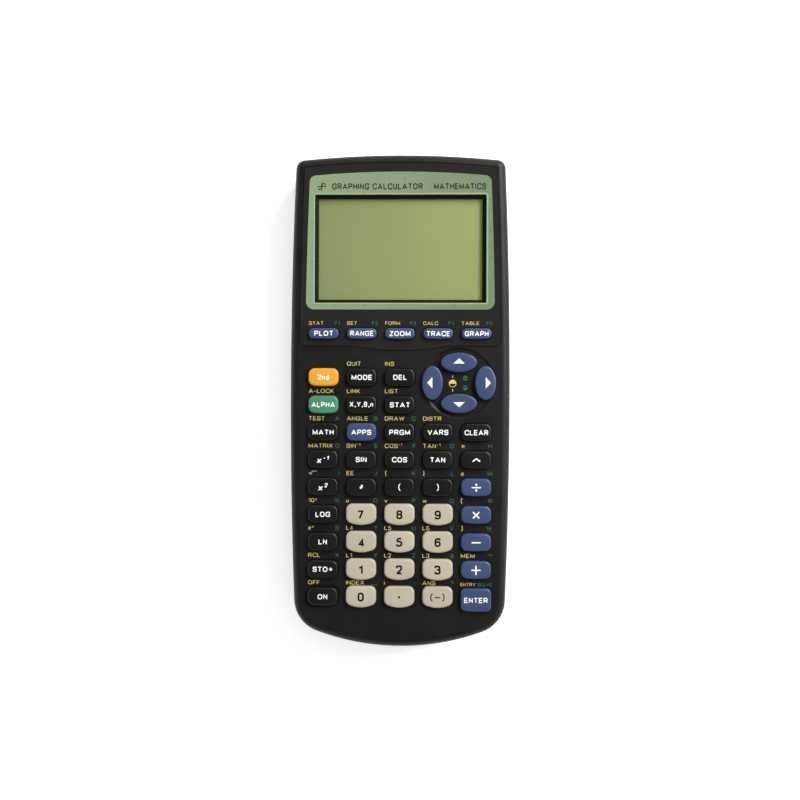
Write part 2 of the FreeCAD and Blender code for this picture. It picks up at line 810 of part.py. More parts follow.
def cut_key_recesses(body):
    """The shallow round dish that holds the cursor keys, and the shallow recess round the on key."""
    dish_rim = new_sketch(body, "dish_rim", "deck_top")
    add_circle(dish_rim, "cursor_x", "cursor_y", "dish_radius")
    dish_floor = new_sketch(body, "dish_floor", "deck_top - dish_depth")
    add_circle(dish_floor, "cursor_x", "cursor_y", "dish_radius - dish_slope")
    cut_slope(body, "dish", dish_rim, dish_floor)
    recess = new_sketch(body, "on_recess", "deck_top")
    add_cushion(recess, "plain", column_x(0), row_y(ON_ROW), "on_recess_margin")
    extrude(body, "Pocket", recess, "on_recess_depth", upwards=False)


def make_faceplate():
    """Glossy insert that lies in the front case's pocket, round the display and the function keys."""
    body = new_body("faceplate")
    outline = new_sketch(body, "outline", FLOOR_LEVEL)
    add_plate_outline(outline)
    extrude(body, "Pad", outline, "plate_thickness")
    opening = new_sketch(body, "opening", "deck_top")
    add_rectangle(opening, "0", "display_y", "opening_width", "opening_height")
    extrude(body, "Pocket", opening, "plate_thickness", upwards=False)
    holes = new_sketch(body, "holes", "deck_top")
    for name, family, x, y in key_places():
        if family == "function":
            add_key_outline(holes, family, x, y, "key_clearance")
    extrude(body, "Pocket", holes, "plate_thickness", upwards=False)
    dress_edges(body, "Chamfer", "edges", "plate_edge", at_level("deck_top"))
    return body


def make_key(name, family, x, y):
    """A key cap with a flange under the deck, modelled about its own centre and then put in its place."""
    body = new_body(name)
    flange = new_sketch(body, "flange", "dome_top")
    add_key_outline(flange, family, "0", "0", "flange_margin")
    extrude(body, "Pad", flange, "flange_top - dome_top")
    cap = new_sketch(body, "cap", "flange_top")
    add_key_outline(cap, family, "0", "0")
    extrude(body, "Pad", cap, "key_top - flange_top")
    dress_edges(body, "Fillet", "edge", "key_edge", at_level("key_top"))
    place(body, x, y)
    return body


def make_display_window():
    """Clear sheet under the display opening."""
    underside = "deck_underside - window_thickness"
    window = centred_box(
        "display_window", "display_y", "window_width", "window_height", underside, "deck_underside"
    )
    window.Label = "display_window"
    return window


def make_display_module():
    """Liquid crystal glass in its frame, the driver board behind it and the ribbon to the main board."""
    glass_top = "glass_underside + glass_thickness"
    glass = centred_box(
        "lcd_glass", "display_y", "glass_width", "glass_height", "glass_underside", glass_top
    )
    frame_level = "frame_underside"
    frame_top = "frame_underside + frame_thickness"
    outside = ["glass_width + 2 * frame_margin", "glass_height + 2 * frame_margin"]
    inside = ["glass_width + 2 * frame_fit", "glass_height + 2 * frame_fit"]
    blank = centred_box("lcd_frame_blank", "display_y", *outside, frame_level, frame_top)
    hollow = centred_box("lcd_frame_hollow", "display_y", *inside, frame_level, frame_top)
    frame = doc.addObject("Part::Cut", "lcd_frame")
    frame.Base = blank
    frame.Tool = hollow
    driver_top = "driver_underside + driver_thickness"
    driver = centred_box(
        "driver_board", "display_y", "driver_width", "driver_height", "driver_underside", driver_top
    )
    left, right = "ribbon_width / -2", "ribbon_width / 2"
    driver_edge = "display_y - driver_height / 2"
    bend, far_bend = "ribbon_bend_y", "ribbon_bend_y + ribbon_thickness"
    high_top, low_top = "ribbon_high + ribbon_thickness", "ribbon_low + ribbon_thickness"
    ribbon = fuse(
        "ribbon",
        [
            box("ribbon_upper", left, right, bend, driver_edge, "ribbon_high", high_top),
            box("ribbon_drop", left, right, bend, far_bend, "ribbon_low", high_top),
            box("ribbon_lower", left, right, "ribbon_end_y", bend, "ribbon_low", low_top),
        ],
    )
    return group("display_module", [glass, frame, driver, ribbon])


def make_keypad_membrane():
    """Rubber sheet with one collapsible dome under each key."""
    body = new_body("keypad_membrane")
    base = new_sketch(body, "base", "board_top")
    add_span(base, "-1 * sheet_half_width", "sheet_half_width", "sheet_end_y", "sheet_start_y")
    extrude(body, "Pad", base, "sheet_top - board_top")
    for row, keys in key_rows().items():
        domes = new_sketch(body, f"{row}_domes", "sheet_top")
        for name, family, x, y in keys:
            add_circle(domes, x, y, "dome_foot_radius")
        extrude(body, "Pad", domes, "dome_top - sheet_top", slope="-1 * dome_slope")
    return body


def make_main_board():
    """Circuit board with its processor, memory, crystal, capacitor and link jack."""
    board = new_body("circuit_board")
    blank = new_sketch(board, "blank", "board_underside")
    add_span(blank, "-1 * board_half_width", "board_half_width", "board_end_y", "board_start_y")
    extrude(board, "Pad", blank, "board_top - board_underside")
    tongue = new_sketch(board, "tongue", "board_underside")
    add_span(tongue, "-1 * tongue_half_width", "tongue_half_width", "tongue_end_y", "board_end_y + wall")
    extrude(board, "Pad", tongue, "board_top - board_underside")
    cut_circles(board, "holes", BOARD_SCREWS, "board_hole_radius", "board_underside", "board_top")
    parts = [board]
    for chip in CHIPS:
        low_x, high_x = (f"{chip}_x {sign} {chip}_width / 2" for sign in "-+")
        low_y, high_y = (f"{chip}_y {sign} {chip}_length / 2" for sign in "-+")
        underside = f"board_underside - {chip}_height"
        parts.append(box(chip, low_x, high_x, low_y, high_y, underside, "board_underside"))
    for can in CANS:
        parts.append(cylinder(can, f"{can}_radius", f"{can}_height"))
        place(parts[-1], f"{can}_x", f"{can}_y", f"board_underside - {can}_height")
    return group("main_board", parts + [make_link_jack()])


def make_link_jack():
    """Jack for a 2.5 mm plug, with its mouth at the bottom end of the case."""
    body = new_body("link_jack")
    jack_low = "2 * jack_axis - board_underside"
    block = new_sketch(body, "block", jack_low)
    jack_back = "jack_mouth_y + jack_length"
    add_span(block, "jack_width / -2", "jack_width / 2", "jack_mouth_y", jack_back)
    extrude(body, "Pad", block, f"board_underside - ({jack_low})")
    bore = new_sketch(body, "bore", "-1 * jack_mouth_y", role="XZ_Plane")
    add_circle(bore, "0", "jack_axis", "jack_bore_radius")
    extrude(body, "Pocket", bore, "jack_bore_depth", upwards=False)
    return body


def make_rear_shell():
    """Floor and lower side walls, with the battery bay, screw tubes, link port and cover grooves."""
    body = new_body("rear_shell")
    outline = new_sketch(body, "outline", "rear_face")
    add_case_outline(outline)
    extrude(body, "Pad", outline, "parting_level - rear_face")
    dress_edges(body, "Fillet", "rim", "rear_rim_radius", at_level("rear_face"))
    dress_edges(body, "Chamfer", "parting", "parting_chamfer", at_level("parting_level"))
    cavity = new_sketch(body, "cavity", "parting_level")
    add_case_outline(cavity, "wall")
    extrude(body, "Pocket", cavity, "parting_level - floor_top", upwards=False)
    lip = new_sketch(body, "lip", "parting_level")
    add_case_outline(lip, "lip_inset")
    add_case_outline(lip, "wall")
    extrude(body, "Pad", lip, "lip_height")
    pad_circles(body, "tubes", CASE_SCREWS, "tube_radius", "floor_top", "boss_foot")
    add_battery_bay(body)
    cut_circles(body, "recesses", CASE_SCREWS, "recess_radius", "rear_face", "recess_top")
    cut_circles(body, "shank_holes", CASE_SCREWS, "shank_hole_radius", "recess_top", "boss_foot")
    cut_circles(body, "foot_seats", FEET, "foot_radius + foot_fit", "rear_face", "foot_height")
    port = new_sketch(body, "port", "case_length / 2 + wall / 2", role="XZ_Plane")
    add_circle(port, "0", "jack_axis", "port_radius")
    port_depth = "case_length / 2 + wall / 2 + jack_mouth_y"
    extrude(body, "Pocket", port, port_depth, upwards=False)
    cut_cover_grooves(body)
    return body


def add_battery_bay(body):
    """A box over the cells, open downwards through the door's opening, with a post for the coin cell."""
    outer = ["bay_half_width + bay_wall", "bay_low_y - bay_wall", "bay_high_y + bay_wall"]
    block = new_sketch(body, "bay_block", "floor_top")
    add_span(block, f"-1 * ({outer[0]})", *outer)
    extrude(body, "Pad", block, "bay_top - floor_top")
    hollow = new_sketch(body, "bay_hollow", "floor_top")
    add_span(hollow, "-1 * bay_half_width", "bay_half_width", "bay_low_y", "bay_high_y")
    extrude(body, "Pocket", hollow, "bay_ceiling - floor_top")
    rebate = new_sketch(body, "door_rebate", "rear_face")
    add_span(rebate, "-1 * rebate_half_width", "rebate_half_width", "rebate_low_y", "rebate_high_y")
    extrude(body, "Pocket", rebate, "rebate_depth")
    opening = new_sketch(body, "door_opening", "rear_face")
    half_width = "rebate_half_width - ledge"
    add_span(opening, f"-1 * ({half_width})", half_width, "rebate_low_y + ledge", "rebate_high_y - ledge")
    extrude(body, "Pocket", opening, "floor_top - rear_face")
    coin_top = "coin_level + coin_thickness"
    post_top = "bay_ceiling + bay_wall / 2"
    pad_circles(body, "coin_post", [("coin_x", "coin_y")], "pedestal_radius", coin_top, post_top)


def cut_cover_grooves(body):
    """A groove along each side, open at the display end, that follows the side's curve."""
    sketch = new_sketch(body, "grooves", "groove_low")
    centre_x, centre_y, radius = case_arcs()[0]
    bottom_of_groove = f"{radius} - groove_depth"
    for side in (1, -1):
        centre = side * value(centre_x), value(centre_y)
        r = value(bottom_of_groove)
        low_y, high_y, out_x = value("groove_end_y"), value("groove_start_y"), side * value("groove_outside")
        low_x, high_x = (
            centre[0] + side * math.sqrt(r**2 - (y - centre[1]) ** 2) for y in (low_y, high_y)
        )
        ends = [(low_x, low_y), (high_x, high_y)]
        start, end = ends if side == 1 else reversed(ends)
        first = sketch.GeometryCount
        sketch.addGeometry(arc(centre, r, start, end), False)
        corners = [ends[1], (out_x, high_y), (out_x, low_y), ends[0]]
        points = [Vector(*corner, 0) for corner in corners]
        sketch.addGeometry([Part.LineSegment(*pair) for pair in zip(points, points[1:])], False)
        arc_low, arc_high = (1, 2) if side == 1 else (2, 1)
        relations = [
            Sketcher.Constraint("Coincident", first, arc_high, first + 1, 1),
            Sketcher.Constraint("Coincident", first + 1, 2, first + 2, 1),
            Sketcher.Constraint("Coincident", first + 2, 2, first + 3, 1),
            Sketcher.Constraint("Coincident", first + 3, 2, first, arc_low),
            Sketcher.Constraint("Horizontal", first + 1),
            Sketcher.Constraint("Vertical", first + 2),
            Sketcher.Constraint("Horizontal", first + 3),
        ]
        dimensions = placed_arc(first, f"{side} * ({centre_x})", centre_y, bottom_of_groove)
        dimensions += [
            (f"{side} * groove_outside", "DistanceX", first + 2, 1),
            ("groove_start_y", "DistanceY", first + 2, 1),
            ("groove_end_y", "DistanceY", first + 2, 2),
        ]
        constrain(sketch, relations, dimensions)
    extrude(body, "Pocket", sketch, "groove_height")


def make_foot(name, x, y):
    body = new_body(name)
    disc = new_sketch(body, "disc")
    add_circle(disc, "0", "0", "foot_radius")
    extrude(body, "Pad", disc, "foot_height")
    dress_edges(body, "Fillet", "edge", "foot_edge", at_level("0"))
    place(body, x, y)
    return body


def make_rear_case():
    feet = [make_foot(f"foot_{n}", x, y) for n, (x, y) in enumerate(FEET, start=1)]
    return group("rear_case", [make_rear_shell(), *feet])


def make_battery_door():
    """Door with a thin skin in the rebate, a thicker core, two hook tabs and a thumb grip."""
    body = new_body("battery_door")
    skin = new_sketch(body, "skin", "rear_face")
    half_width = "rebate_half_width - door_gap"
    low_y, high_y = "rebate_low_y + door_gap", "rebate_high_y - door_gap"
    add_span(skin, f"-1 * ({half_width})", half_width, low_y, high_y)
    extrude(body, "Pad", skin, "door_skin")
    core = new_sketch(body, "core", "rear_face")
    core_half = f"{half_width} - ledge"
    add_span(core, f"-1 * ({core_half})", core_half, f"{low_y} + ledge", f"{high_y} - ledge")
    extrude(body, "Pad", core, "floor_top - rear_face")
    for name, x in (("left", "tab_left_x"), ("right", "tab_right_x")):
        low_x, high_x = f"{x} - tab_width / 2", f"{x} + tab_width / 2"
        neck = new_sketch(body, f"{name}_neck", "floor_top - wall / 2")
        add_span(neck, low_x, high_x, "tab_neck_y", "tab_root_y")
        extrude(body, "Pad", neck, "tab_top - floor_top + wall / 2")
        tab = new_sketch(body, f"{name}_tab", "tab_low")
        add_span(tab, low_x, high_x, "tab_tip_y", "tab_root_y")
        extrude(body, "Pad", tab, "tab_top - tab_low")
    grip = new_sketch(body, "grip", "rear_face")
    add_ellipse(grip, "0", "grip_y", "grip_width", "grip_height")
    extrude(body, "Pocket", grip, "grip_depth")
    bar = new_sketch(body, "grip_bar", "rear_face + grip_depth")
    add_rectangle(bar, "0", "grip_y - grip_bar_pitch", "grip_bar_width", "grip_bar_height")
    bars = extrude(body, "Pad", bar, "grip_bar_rise", upwards=False)
    pattern = body.newObject("PartDesign::LinearPattern", "battery_door_grip_bars")
    pattern.Originals = [bars]
    pattern.Direction = (bar, ["V_Axis"])
    pattern.Mode = "Spacing"
    pattern.setExpression("Offset", linked("grip_bar_pitch"))
    pattern.Occurrences = 3
    body.Tip = pattern
    doc.recompute()
    return body


def lay_along_y(item, x, z, shift, turned):
    """Lays an object that stands on the XY plane along +Y in the battery bay, or along -Y if turned.

    shift is where its foot lies along that direction, from the middle of the bay."""
    middle = "(bay_low_y + bay_high_y) / 2"
    item.Placement = Placement(Vector(), Rotation(Vector(1, 0, 0), 90 if turned else -90))
    sign = "-" if turned else "+"
    place(item, x, f"{middle} {sign} ({shift})", z)
    return item


def cell_x(number):
    return f"first_cell_x + cell_pitch * {number}"


def make_batteries():
    """Four AAA cells, turned alternately, and the coin cell that keeps the memory."""
    parts = []
    foot = "cell_shift - (cell_length + nub_length) / 2"
    for number in range(4):
        place_x, turned = cell_x(number), number % 2 == 1
        can = cylinder(f"cell_{number + 1}_can", "cell_radius", "cell_length")
        lay_along_y(can, place_x, "cell_level", foot, turned)
        nub = cylinder(f"cell_{number + 1}_nub", "nub_radius", "cell_length + nub_length")
        lay_along_y(nub, place_x, "cell_level", foot, turned)
        parts.append(fuse(f"cell_{number + 1}", [can, nub]))
    coin = cylinder("coin_cell", "coin_radius", "coin_thickness")
    place(coin, "coin_x", "coin_y", "coin_level")
    return group("batteries", parts + [coin])


def make_screw(name, size, x, y, z):
    """A screw that stands on its head, driven upwards, with a cross recess in the head."""
    head_r, head_h = f"{size}_head_radius", f"{size}_head_height"
    shank_r, length = f"{size}_shank_radius", f"{size}_length"
    body = new_body(name)
    profile = new_sketch(body, "profile", role="XZ_Plane")
    corners = [
        ("0", "0"),
        (head_r, "0"),
        (head_r, head_h),
        (shank_r, head_h),
        (shank_r, length),
        ("0", length),
    ]
    points = [Vector(value(across), value(up), 0) for across, up in corners]
    count = len(points)
    for i in range(count):
        profile.addGeometry(Part.LineSegment(points[i], points[(i + 1) % count]), False)
    relations = [Sketcher.Constraint("Coincident", i, 2, (i + 1) % count, 1) for i in range(count)]
    relations += [Sketcher.Constraint("Horizontal", i) for i in (0, 2, 4)]
    relations += [Sketcher.Constraint("Vertical", i) for i in (1, 3, 5)]
    relations.append(Sketcher.Constraint("Coincident", 0, 1, ORIGIN, 1))
    dimensions = [
        (head_r, "DistanceX", 0, 2),
        (head_h, "DistanceY", 1, 2),
        (shank_r, "DistanceX", 3, 1),
        (length, "DistanceY", 4, 1),
    ]
    constrain(profile, relations, dimensions)
    turned = body.newObject("PartDesign::Revolution", f"{name}_turned")
    turned.Profile = profile
    turned.ReferenceAxis = (profile, ["V_Axis"])
    turned.Angle = 360
    doc.recompute()
    for way, across, up in (("x", "slot_length", "slot_width"), ("y", "slot_width", "slot_length")):
        slot = new_sketch(body, f"slot_{way}")
        add_rectangle(slot, "0", "0", across, up)
        extrude(body, "Pocket", slot, "slot_depth")
    place(body, x, y, z)
    return body


def make_spring(number):
    """The coil that presses on a cell's flat end."""
    coil = doc.addObject("Part::Helix", f"coil_{number + 1}")
    coil.setExpression("Radius", linked("spring_radius"))
    coil.setExpression("Pitch", linked("spring_pitch"))
    coil.setExpression("Height", linked("spring_height"))
    wire = doc.addObject("Part::Circle", f"wire_{number + 1}")
    wire.setExpression("Radius", linked("spring_wire"))
    wire.Placement = Placement(Vector(value("spring_radius"), 0, 0), Rotation(Vector(1, 0, 0), 90))
    wire.setExpression("Placement.Base.x", linked("spring_radius"))
    spring = doc.addObject("Part::Sweep", f"spring_{number + 1}")
    spring.Sections = [wire]
    spring.Spine = (coil, [])
    spring.Solid = True
    spring.Frenet = True
    foot = "cell_shift - (cell_length + nub_length) / 2 - spring_height - 2 * spring_wire"
    return lay_along_y(spring, cell_x(number), "cell_level", foot, number % 2 == 1)


def make_contact_plate(number):
    """The plate that meets a cell's nub."""
    x, turned = cell_x(number), number % 2 == 1
    face = "cell_shift + (cell_length + nub_length) / 2"
    sign = "-" if turned else "+"
    near = f"(bay_low_y + bay_high_y) / 2 {sign} ({face})"
    far = f"{near} {sign} contact_thickness"
    low_y, high_y = (far, near) if turned else (near, far)
    half, rise = "contact_width / 2", "contact_height / 2"
    low_z, high_z = f"cell_level - {rise}", f"cell_level + {rise}"
    return box(f"contact_{number + 1}", f"{x} - {half}", f"{x} + {half}", low_y, high_y, low_z, high_z)


def make_coin_clip():
    """Strap under the coin cell, with a leg up each side of its post."""
    left, right = "coin_x - clip_width / 2", "coin_x + clip_width / 2"
    reach = "(pedestal_radius + clip_fit)"
    low_y, high_y = f"coin_y - {reach} - clip_thickness", f"coin_y + {reach} + clip_thickness"
    top = "coin_level - clip_fit"
    bottom = f"{top} - clip_thickness"
    legs_top = f"{bottom} + clip_leg"
    inner_low, inner_high = f"{low_y} + clip_thickness", f"{high_y} - clip_thickness"
    return fuse(
        "coin_clip",
        [
            box("clip_strap", left, right, low_y, high_y, bottom, top),
            box("clip_leg_low", left, right, low_y, inner_low, bottom, legs_top),
            box("clip_leg_high", left, right, inner_high, high_y, bottom, legs_top),
        ],
    )


def make_hardware():
    """Case and board screws, and the metal of the battery bay."""
    parts = []
    for n, (x, y) in enumerate(CASE_SCREWS, start=1):
        parts.append(make_screw(f"case_screw_{n}", "screw", x, y, "recess_top - screw_head_height"))
    for n, (x, y) in enumerate(BOARD_SCREWS, start=1):
        parts.append(make_screw(f"board_screw_{n}", "small", x, y, "board_underside - small_head_height"))
    parts += [make_spring(number) for number in range(4)]
    parts += [make_contact_plate(number) for number in range(4)]
    return group("hardware", parts + [make_coin_clip()])


# ---------------------------------------------------------------- the whole part


def check(parts):
    """Stops on any failed object, and on any sub-part without a valid closed shape."""
    failed = [item.Name for item in doc.Objects if {"Invalid", "Error"} & set(item.State)]
    if failed:
        raise RuntimeError(f"failed objects: {failed}")
    for part in parts:
        if part.Shape.isNull() or not part.Shape.isValid() or not part.Shape.Solids:
            raise RuntimeError(f"{part.Label} has no valid shape")


def main():
    fill_sheet()
    parts = [
        make_front_case(),
        make_faceplate(),
        make_display_window(),
        make_display_module(),
        make_keypad_membrane(),
        make_main_board(),
        make_rear_case(),
        make_battery_door(),
        make_batteries(),
        make_hardware(),
    ]
    parts += [make_key(*key) for key in key_places()]
    doc.recompute()
    check(parts)
    os.makedirs("parts", exist_ok=True)
    for part in parts:
        part.Shape.exportStep(os.path.join("parts", f"{part.Label}.step"))


main()
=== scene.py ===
"""Looks of a graphing calculator lying on its back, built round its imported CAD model.

Everything is in the frame's own axes: +X to the right, +Y towards the display end, +Z out of the keys.
Lengths with a name are in millimetres unless they end in _M, and MM turns them into the frame's metres.
"""

import json
import math

import bmesh
import bpy
from mathutils import Matrix, Vector
from mathutils.bvhtree import BVHTree


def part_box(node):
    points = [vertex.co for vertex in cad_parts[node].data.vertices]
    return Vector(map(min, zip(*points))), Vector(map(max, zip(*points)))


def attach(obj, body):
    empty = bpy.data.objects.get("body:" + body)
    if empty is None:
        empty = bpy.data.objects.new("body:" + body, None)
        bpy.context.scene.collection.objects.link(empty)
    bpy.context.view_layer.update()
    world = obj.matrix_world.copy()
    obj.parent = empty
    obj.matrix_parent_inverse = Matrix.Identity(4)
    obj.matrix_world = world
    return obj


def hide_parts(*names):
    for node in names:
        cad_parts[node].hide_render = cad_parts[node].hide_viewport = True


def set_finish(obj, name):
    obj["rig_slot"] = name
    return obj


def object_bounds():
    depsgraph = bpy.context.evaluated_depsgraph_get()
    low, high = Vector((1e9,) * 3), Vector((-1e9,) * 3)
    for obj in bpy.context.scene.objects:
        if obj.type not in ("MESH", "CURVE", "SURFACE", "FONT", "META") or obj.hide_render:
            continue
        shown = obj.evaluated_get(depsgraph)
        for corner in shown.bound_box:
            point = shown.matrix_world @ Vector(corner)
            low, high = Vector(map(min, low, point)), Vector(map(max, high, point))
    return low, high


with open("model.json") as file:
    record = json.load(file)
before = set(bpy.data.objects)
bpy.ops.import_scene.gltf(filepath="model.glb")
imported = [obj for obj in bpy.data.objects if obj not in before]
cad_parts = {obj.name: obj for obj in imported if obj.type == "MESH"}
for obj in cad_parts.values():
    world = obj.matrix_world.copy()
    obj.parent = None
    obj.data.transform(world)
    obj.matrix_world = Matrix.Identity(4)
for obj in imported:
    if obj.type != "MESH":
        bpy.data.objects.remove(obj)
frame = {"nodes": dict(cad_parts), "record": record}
cad_box = [list(corner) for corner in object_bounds()]

MM = 0.001
CASE_BODY = "case"


def box_of(node):
    """The lowest and highest corner of a CAD node, in millimetres."""
    low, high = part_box(node)
    return low / MM, high / MM


def middle_of(node):
    low, high = box_of(node)
    return (low + high) / 2


# -------- colours


def screen(red, green, blue):
    """A colour as a screen shows it, 0 to 255 each, in the linear numbers that shaders take."""
    levels = [level / 255 for level in (red, green, blue)]
    return *(v / 12.92 if v <= 0.04045 else ((v + 0.055) / 1.055) ** 2.4 for v in levels), 1.0


def scaled(colour, share):
    """The colour made darker or lighter."""
    return *(min(1.0, level * share) for level in colour[:3]), 1.0


WHITE = (1.0, 1.0, 1.0, 1.0)
BLACK = (0.0, 0.0, 0.0, 1.0)


# -------- shader nodes

# where nearly all of a noise's values lie
NOISE_SPAN = (0.3, 0.7)
# how well a face's normal agrees with the rounded one, on a flat and on a corner
FLAT_MATCH = 0.985
CORNER_MATCH = 0.86


class Shader:
    """A material and short calls for the nodes that this object's materials are made of."""

    def __init__(self, name):
        self.material = bpy.data.materials.new(name)
        self.material.use_nodes = True
        self.tree = self.material.node_tree
        self.surface = self.tree.nodes["Principled BSDF"]
        place = self.add("TexCoord").outputs["Object"]
        scale = self.add("VectorMath", {0: place, "Scale": 1 / MM}, operation="SCALE")
        self.place = scale.outputs["Vector"]

    def add(self, kind, inputs=(), **settings):
        """A node with its settings made and its inputs set or linked."""
        made = self.tree.nodes.new(f"ShaderNode{kind}")
        for name, setting in settings.items():
            setattr(made, name, setting)
        for socket, source in dict(inputs).items():
            self.feed(made.inputs[socket], source)
        return made

    def feed(self, socket, source):
        if isinstance(source, bpy.types.NodeSocket):
            self.tree.links.new(source, socket)
        else:
            socket.default_value = source

    def set(self, socket, source):
        self.feed(self.surface.inputs[socket], source)

    def noise(self, size, detail=2.0, stretch=None):
        """Cloudy noise from 0 to 1 whose lumps are about size across, in millimetres."""
        place = self.place
        if stretch:
            place = self.add("VectorMath", {0: place, 1: stretch}, operation="MULTIPLY")
            place = place.outputs["Vector"]
        made = self.add("TexNoise", {"Vector": place, "Scale": 1 / size, "Detail": detail})
        return made.outputs["Fac"]

    def levels(self, source, low, high, to_low=0.0, to_high=1.0):
        """Stretches what lies between low and high over to_low to to_high, and clips the rest."""
        span = {"From Min": low, "From Max": high, "To Min": to_low, "To Max": to_high}
        return self.add("MapRange", {"Value": source, **span}).outputs["Result"]

    def spread(self, noise, to_low=0.0, to_high=1.0):
        """A noise that is stretched over all of to_low to to_high."""
        return self.levels(noise, *NOISE_SPAN, to_low, to_high)

    def maths(self, operation, first, second=0.0):
        return self.add("Math", {0: first, 1: second}, operation=operation).outputs[0]

    def mix(self, share, first, second):
        """The first colour, with a share of the second."""
        made = self.add("Mix", data_type="RGBA")
        for index, source in ((0, share), (6, first), (7, second)):
            self.feed(made.inputs[index], source)
        return made.outputs[2]

    def edges(self, reach):
        """From 0 on a flat to 1 on a corner, over a band about reach wide."""
        bevelled = self.add("Bevel", {"Radius": reach * MM}, samples=4).outputs["Normal"]
        facing = self.add("NewGeometry").outputs["Normal"]
        match = self.add("VectorMath", {0: bevelled, 1: facing}, operation="DOT_PRODUCT")
        return self.levels(match.outputs["Value"], FLAT_MATCH, CORNER_MATCH)

    def bump(self, height, depth):
        """Lets a 0 to 1 height stand depth high on the surface."""
        inputs = {"Height": height, "Distance": depth * MM, "Strength": 1.0}
        self.set("Normal", self.add("Bump", inputs).outputs["Normal"])

    def across(self, low, high):
        """From 0 to 1 along +X, between two places in millimetres."""
        split = self.add("SeparateXYZ", {0: self.place})
        return self.levels(split.outputs["X"], low, high)

    def show(self, shader):
        """Gives the material another surface than its plain one."""
        self.tree.links.new(shader.outputs[0], self.tree.nodes["Material Output"].inputs["Surface"])


BLOTCH_SIZE = 16.0
SPECK_SIZE = 0.5
WEAR_SIZE = 2.4
WEAR_REACH = 0.45
HANDLING_SIZE = 11.0
HANDLING = 0.06


def moulded(name, colour, roughness, grain=0.3, depth=0.012, worn=None, wear=0.3, shine=0.5, coat=None):
    """Moulded plastic: faint blotches and specks, a textured skin, handling marks and rubbed edges."""
    shader = Shader(name)
    blotches = shader.spread(shader.noise(BLOTCH_SIZE, detail=4.0))
    tone = shader.mix(blotches, scaled(colour, 0.92), scaled(colour, 1.08))
    specks = shader.levels(shader.noise(SPECK_SIZE, detail=3.0), 0.62, 0.72, 0.0, 0.35)
    tone = shader.mix(specks, tone, scaled(colour, 1.35))
    patches = shader.levels(shader.noise(WEAR_SIZE, detail=5.0), 0.4, 0.62)
    rubbed = shader.maths("MULTIPLY", shader.edges(WEAR_REACH), patches)
    tone = shader.mix(shader.maths("MULTIPLY", rubbed, wear), tone, worn or scaled(colour, 2.2))
    shader.set("Base Color", coat(shader, tone) if coat else tone)
    marks = shader.noise(HANDLING_SIZE, detail=6.0)
    handled = shader.spread(marks, roughness - HANDLING, roughness + HANDLING)
    smoother = shader.maths("MULTIPLY", rubbed, HANDLING)
    shader.set("Roughness", shader.maths("SUBTRACT", handled, smoother))
    shader.set("Specular IOR Level", shine)
    shader.bump(shader.noise(grain, detail=3.0), depth)
    return shader.material


def polished(name, colour, roughness):
    """Glossy plastic: a deep even colour under faint hairline scratches and finger marks."""
    shader = Shader(name)
    tint = shader.levels(shader.noise(30.0, detail=3.0), 0.35, 0.65)
    shader.set("Base Color", shader.mix(tint, scaled(colour, 0.94), scaled(colour, 1.08)))
    along = shader.noise(0.5, detail=2.0, stretch=(0.05, 1.0, 1.0))
    across = shader.noise(0.6, detail=2.0, stretch=(1.0, 0.06, 1.0))
    lines = shader.maths("MAXIMUM", along, across)
    fingers = shader.levels(shader.noise(9.0, detail=6.0), 0.45, 0.7, 0.0, 0.1)
    scratches = shader.levels(lines, 0.68, 0.8, 0.0, 0.08)
    shader.set("Roughness", shader.maths("ADD", shader.maths("ADD", fingers, scratches), roughness))
    shader.bump(lines, 0.002)
    return shader.material


def ink(name, colour, roughness=0.45, thin_share=0.8, right=None, shine=0.5):
    """Printed ink, a little thin in places. Its colour can turn into another towards the right, as painted
    shade across the print.
    """
    shader = Shader(name)
    # painted shade: the colour turns into the right one across the object's width, not in the ink itself
    if right:
        colour = shader.mix(shader.across(cad_box[0][0] / MM, cad_box[1][0] / MM), colour, right)
    thin = shader.levels(shader.noise(0.9, detail=4.0), 0.5, 0.75, 0.0, 1.0 - thin_share)
    shader.set("Base Color", shader.mix(thin, colour, BLACK))
    shader.set("Roughness", shader.spread(shader.noise(2.0), roughness - 0.05, roughness + 0.08))
    shader.set("Specular IOR Level", shine)
    shader.bump(shader.noise(0.25), 0.003)
    return shader.material


def metal(name, colour, roughness):
    """Plated steel with fine drawn lines and dull patches."""
    shader = Shader(name)
    dull = shader.levels(shader.noise(1.6, detail=5.0), 0.4, 0.7)
    shader.set("Base Color", shader.mix(dull, colour, scaled(colour, 0.72)))
    shader.set("Metallic", 1.0)
    lines = shader.noise(0.25, detail=2.0, stretch=(1.0, 0.08, 1.0))
    shader.set("Roughness", shader.spread(lines, roughness - 0.08, roughness + 0.12))
    shader.bump(lines, 0.003)
    return shader.material


PIXEL_PITCH = 0.62
PIXEL_GAP = 0.06
IDLE_SHADE = 0.03


def liquid_crystal(name, left, right):
    """Grey-green display, with painted light that makes it brighter towards the right, and its idle pixels
    just showing.
    """
    shader = Shader(name)
    low, high = box_of("display_window")
    clouds = shader.spread(shader.noise(22.0), -0.08, 0.08)
    # painted light: the display turns from the darker left colour to the brighter right one
    tone = shader.mix(shader.maths("ADD", shader.across(low.x, high.x), clouds), left, right)
    pixels = shader.add(
        "TexBrick",
        {
            "Vector": shader.place,
            "Color1": WHITE,
            "Color2": WHITE,
            "Mortar": BLACK,
            "Scale": 1.0,
            "Mortar Size": PIXEL_PITCH * PIXEL_GAP,
            "Brick Width": PIXEL_PITCH,
            "Row Height": PIXEL_PITCH,
        },
        offset=0.0,
        squash=1.0,
    )
    idle = shader.maths("MULTIPLY", pixels.outputs["Color"], IDLE_SHADE)
    shader.set("Base Color", shader.mix(idle, tone, screen(70, 84, 50)))
    shader.set("Roughness", shader.spread(shader.noise(0.4), 0.42, 0.5))
    shader.bump(shader.noise(0.12), 0.002)
    return shader.material


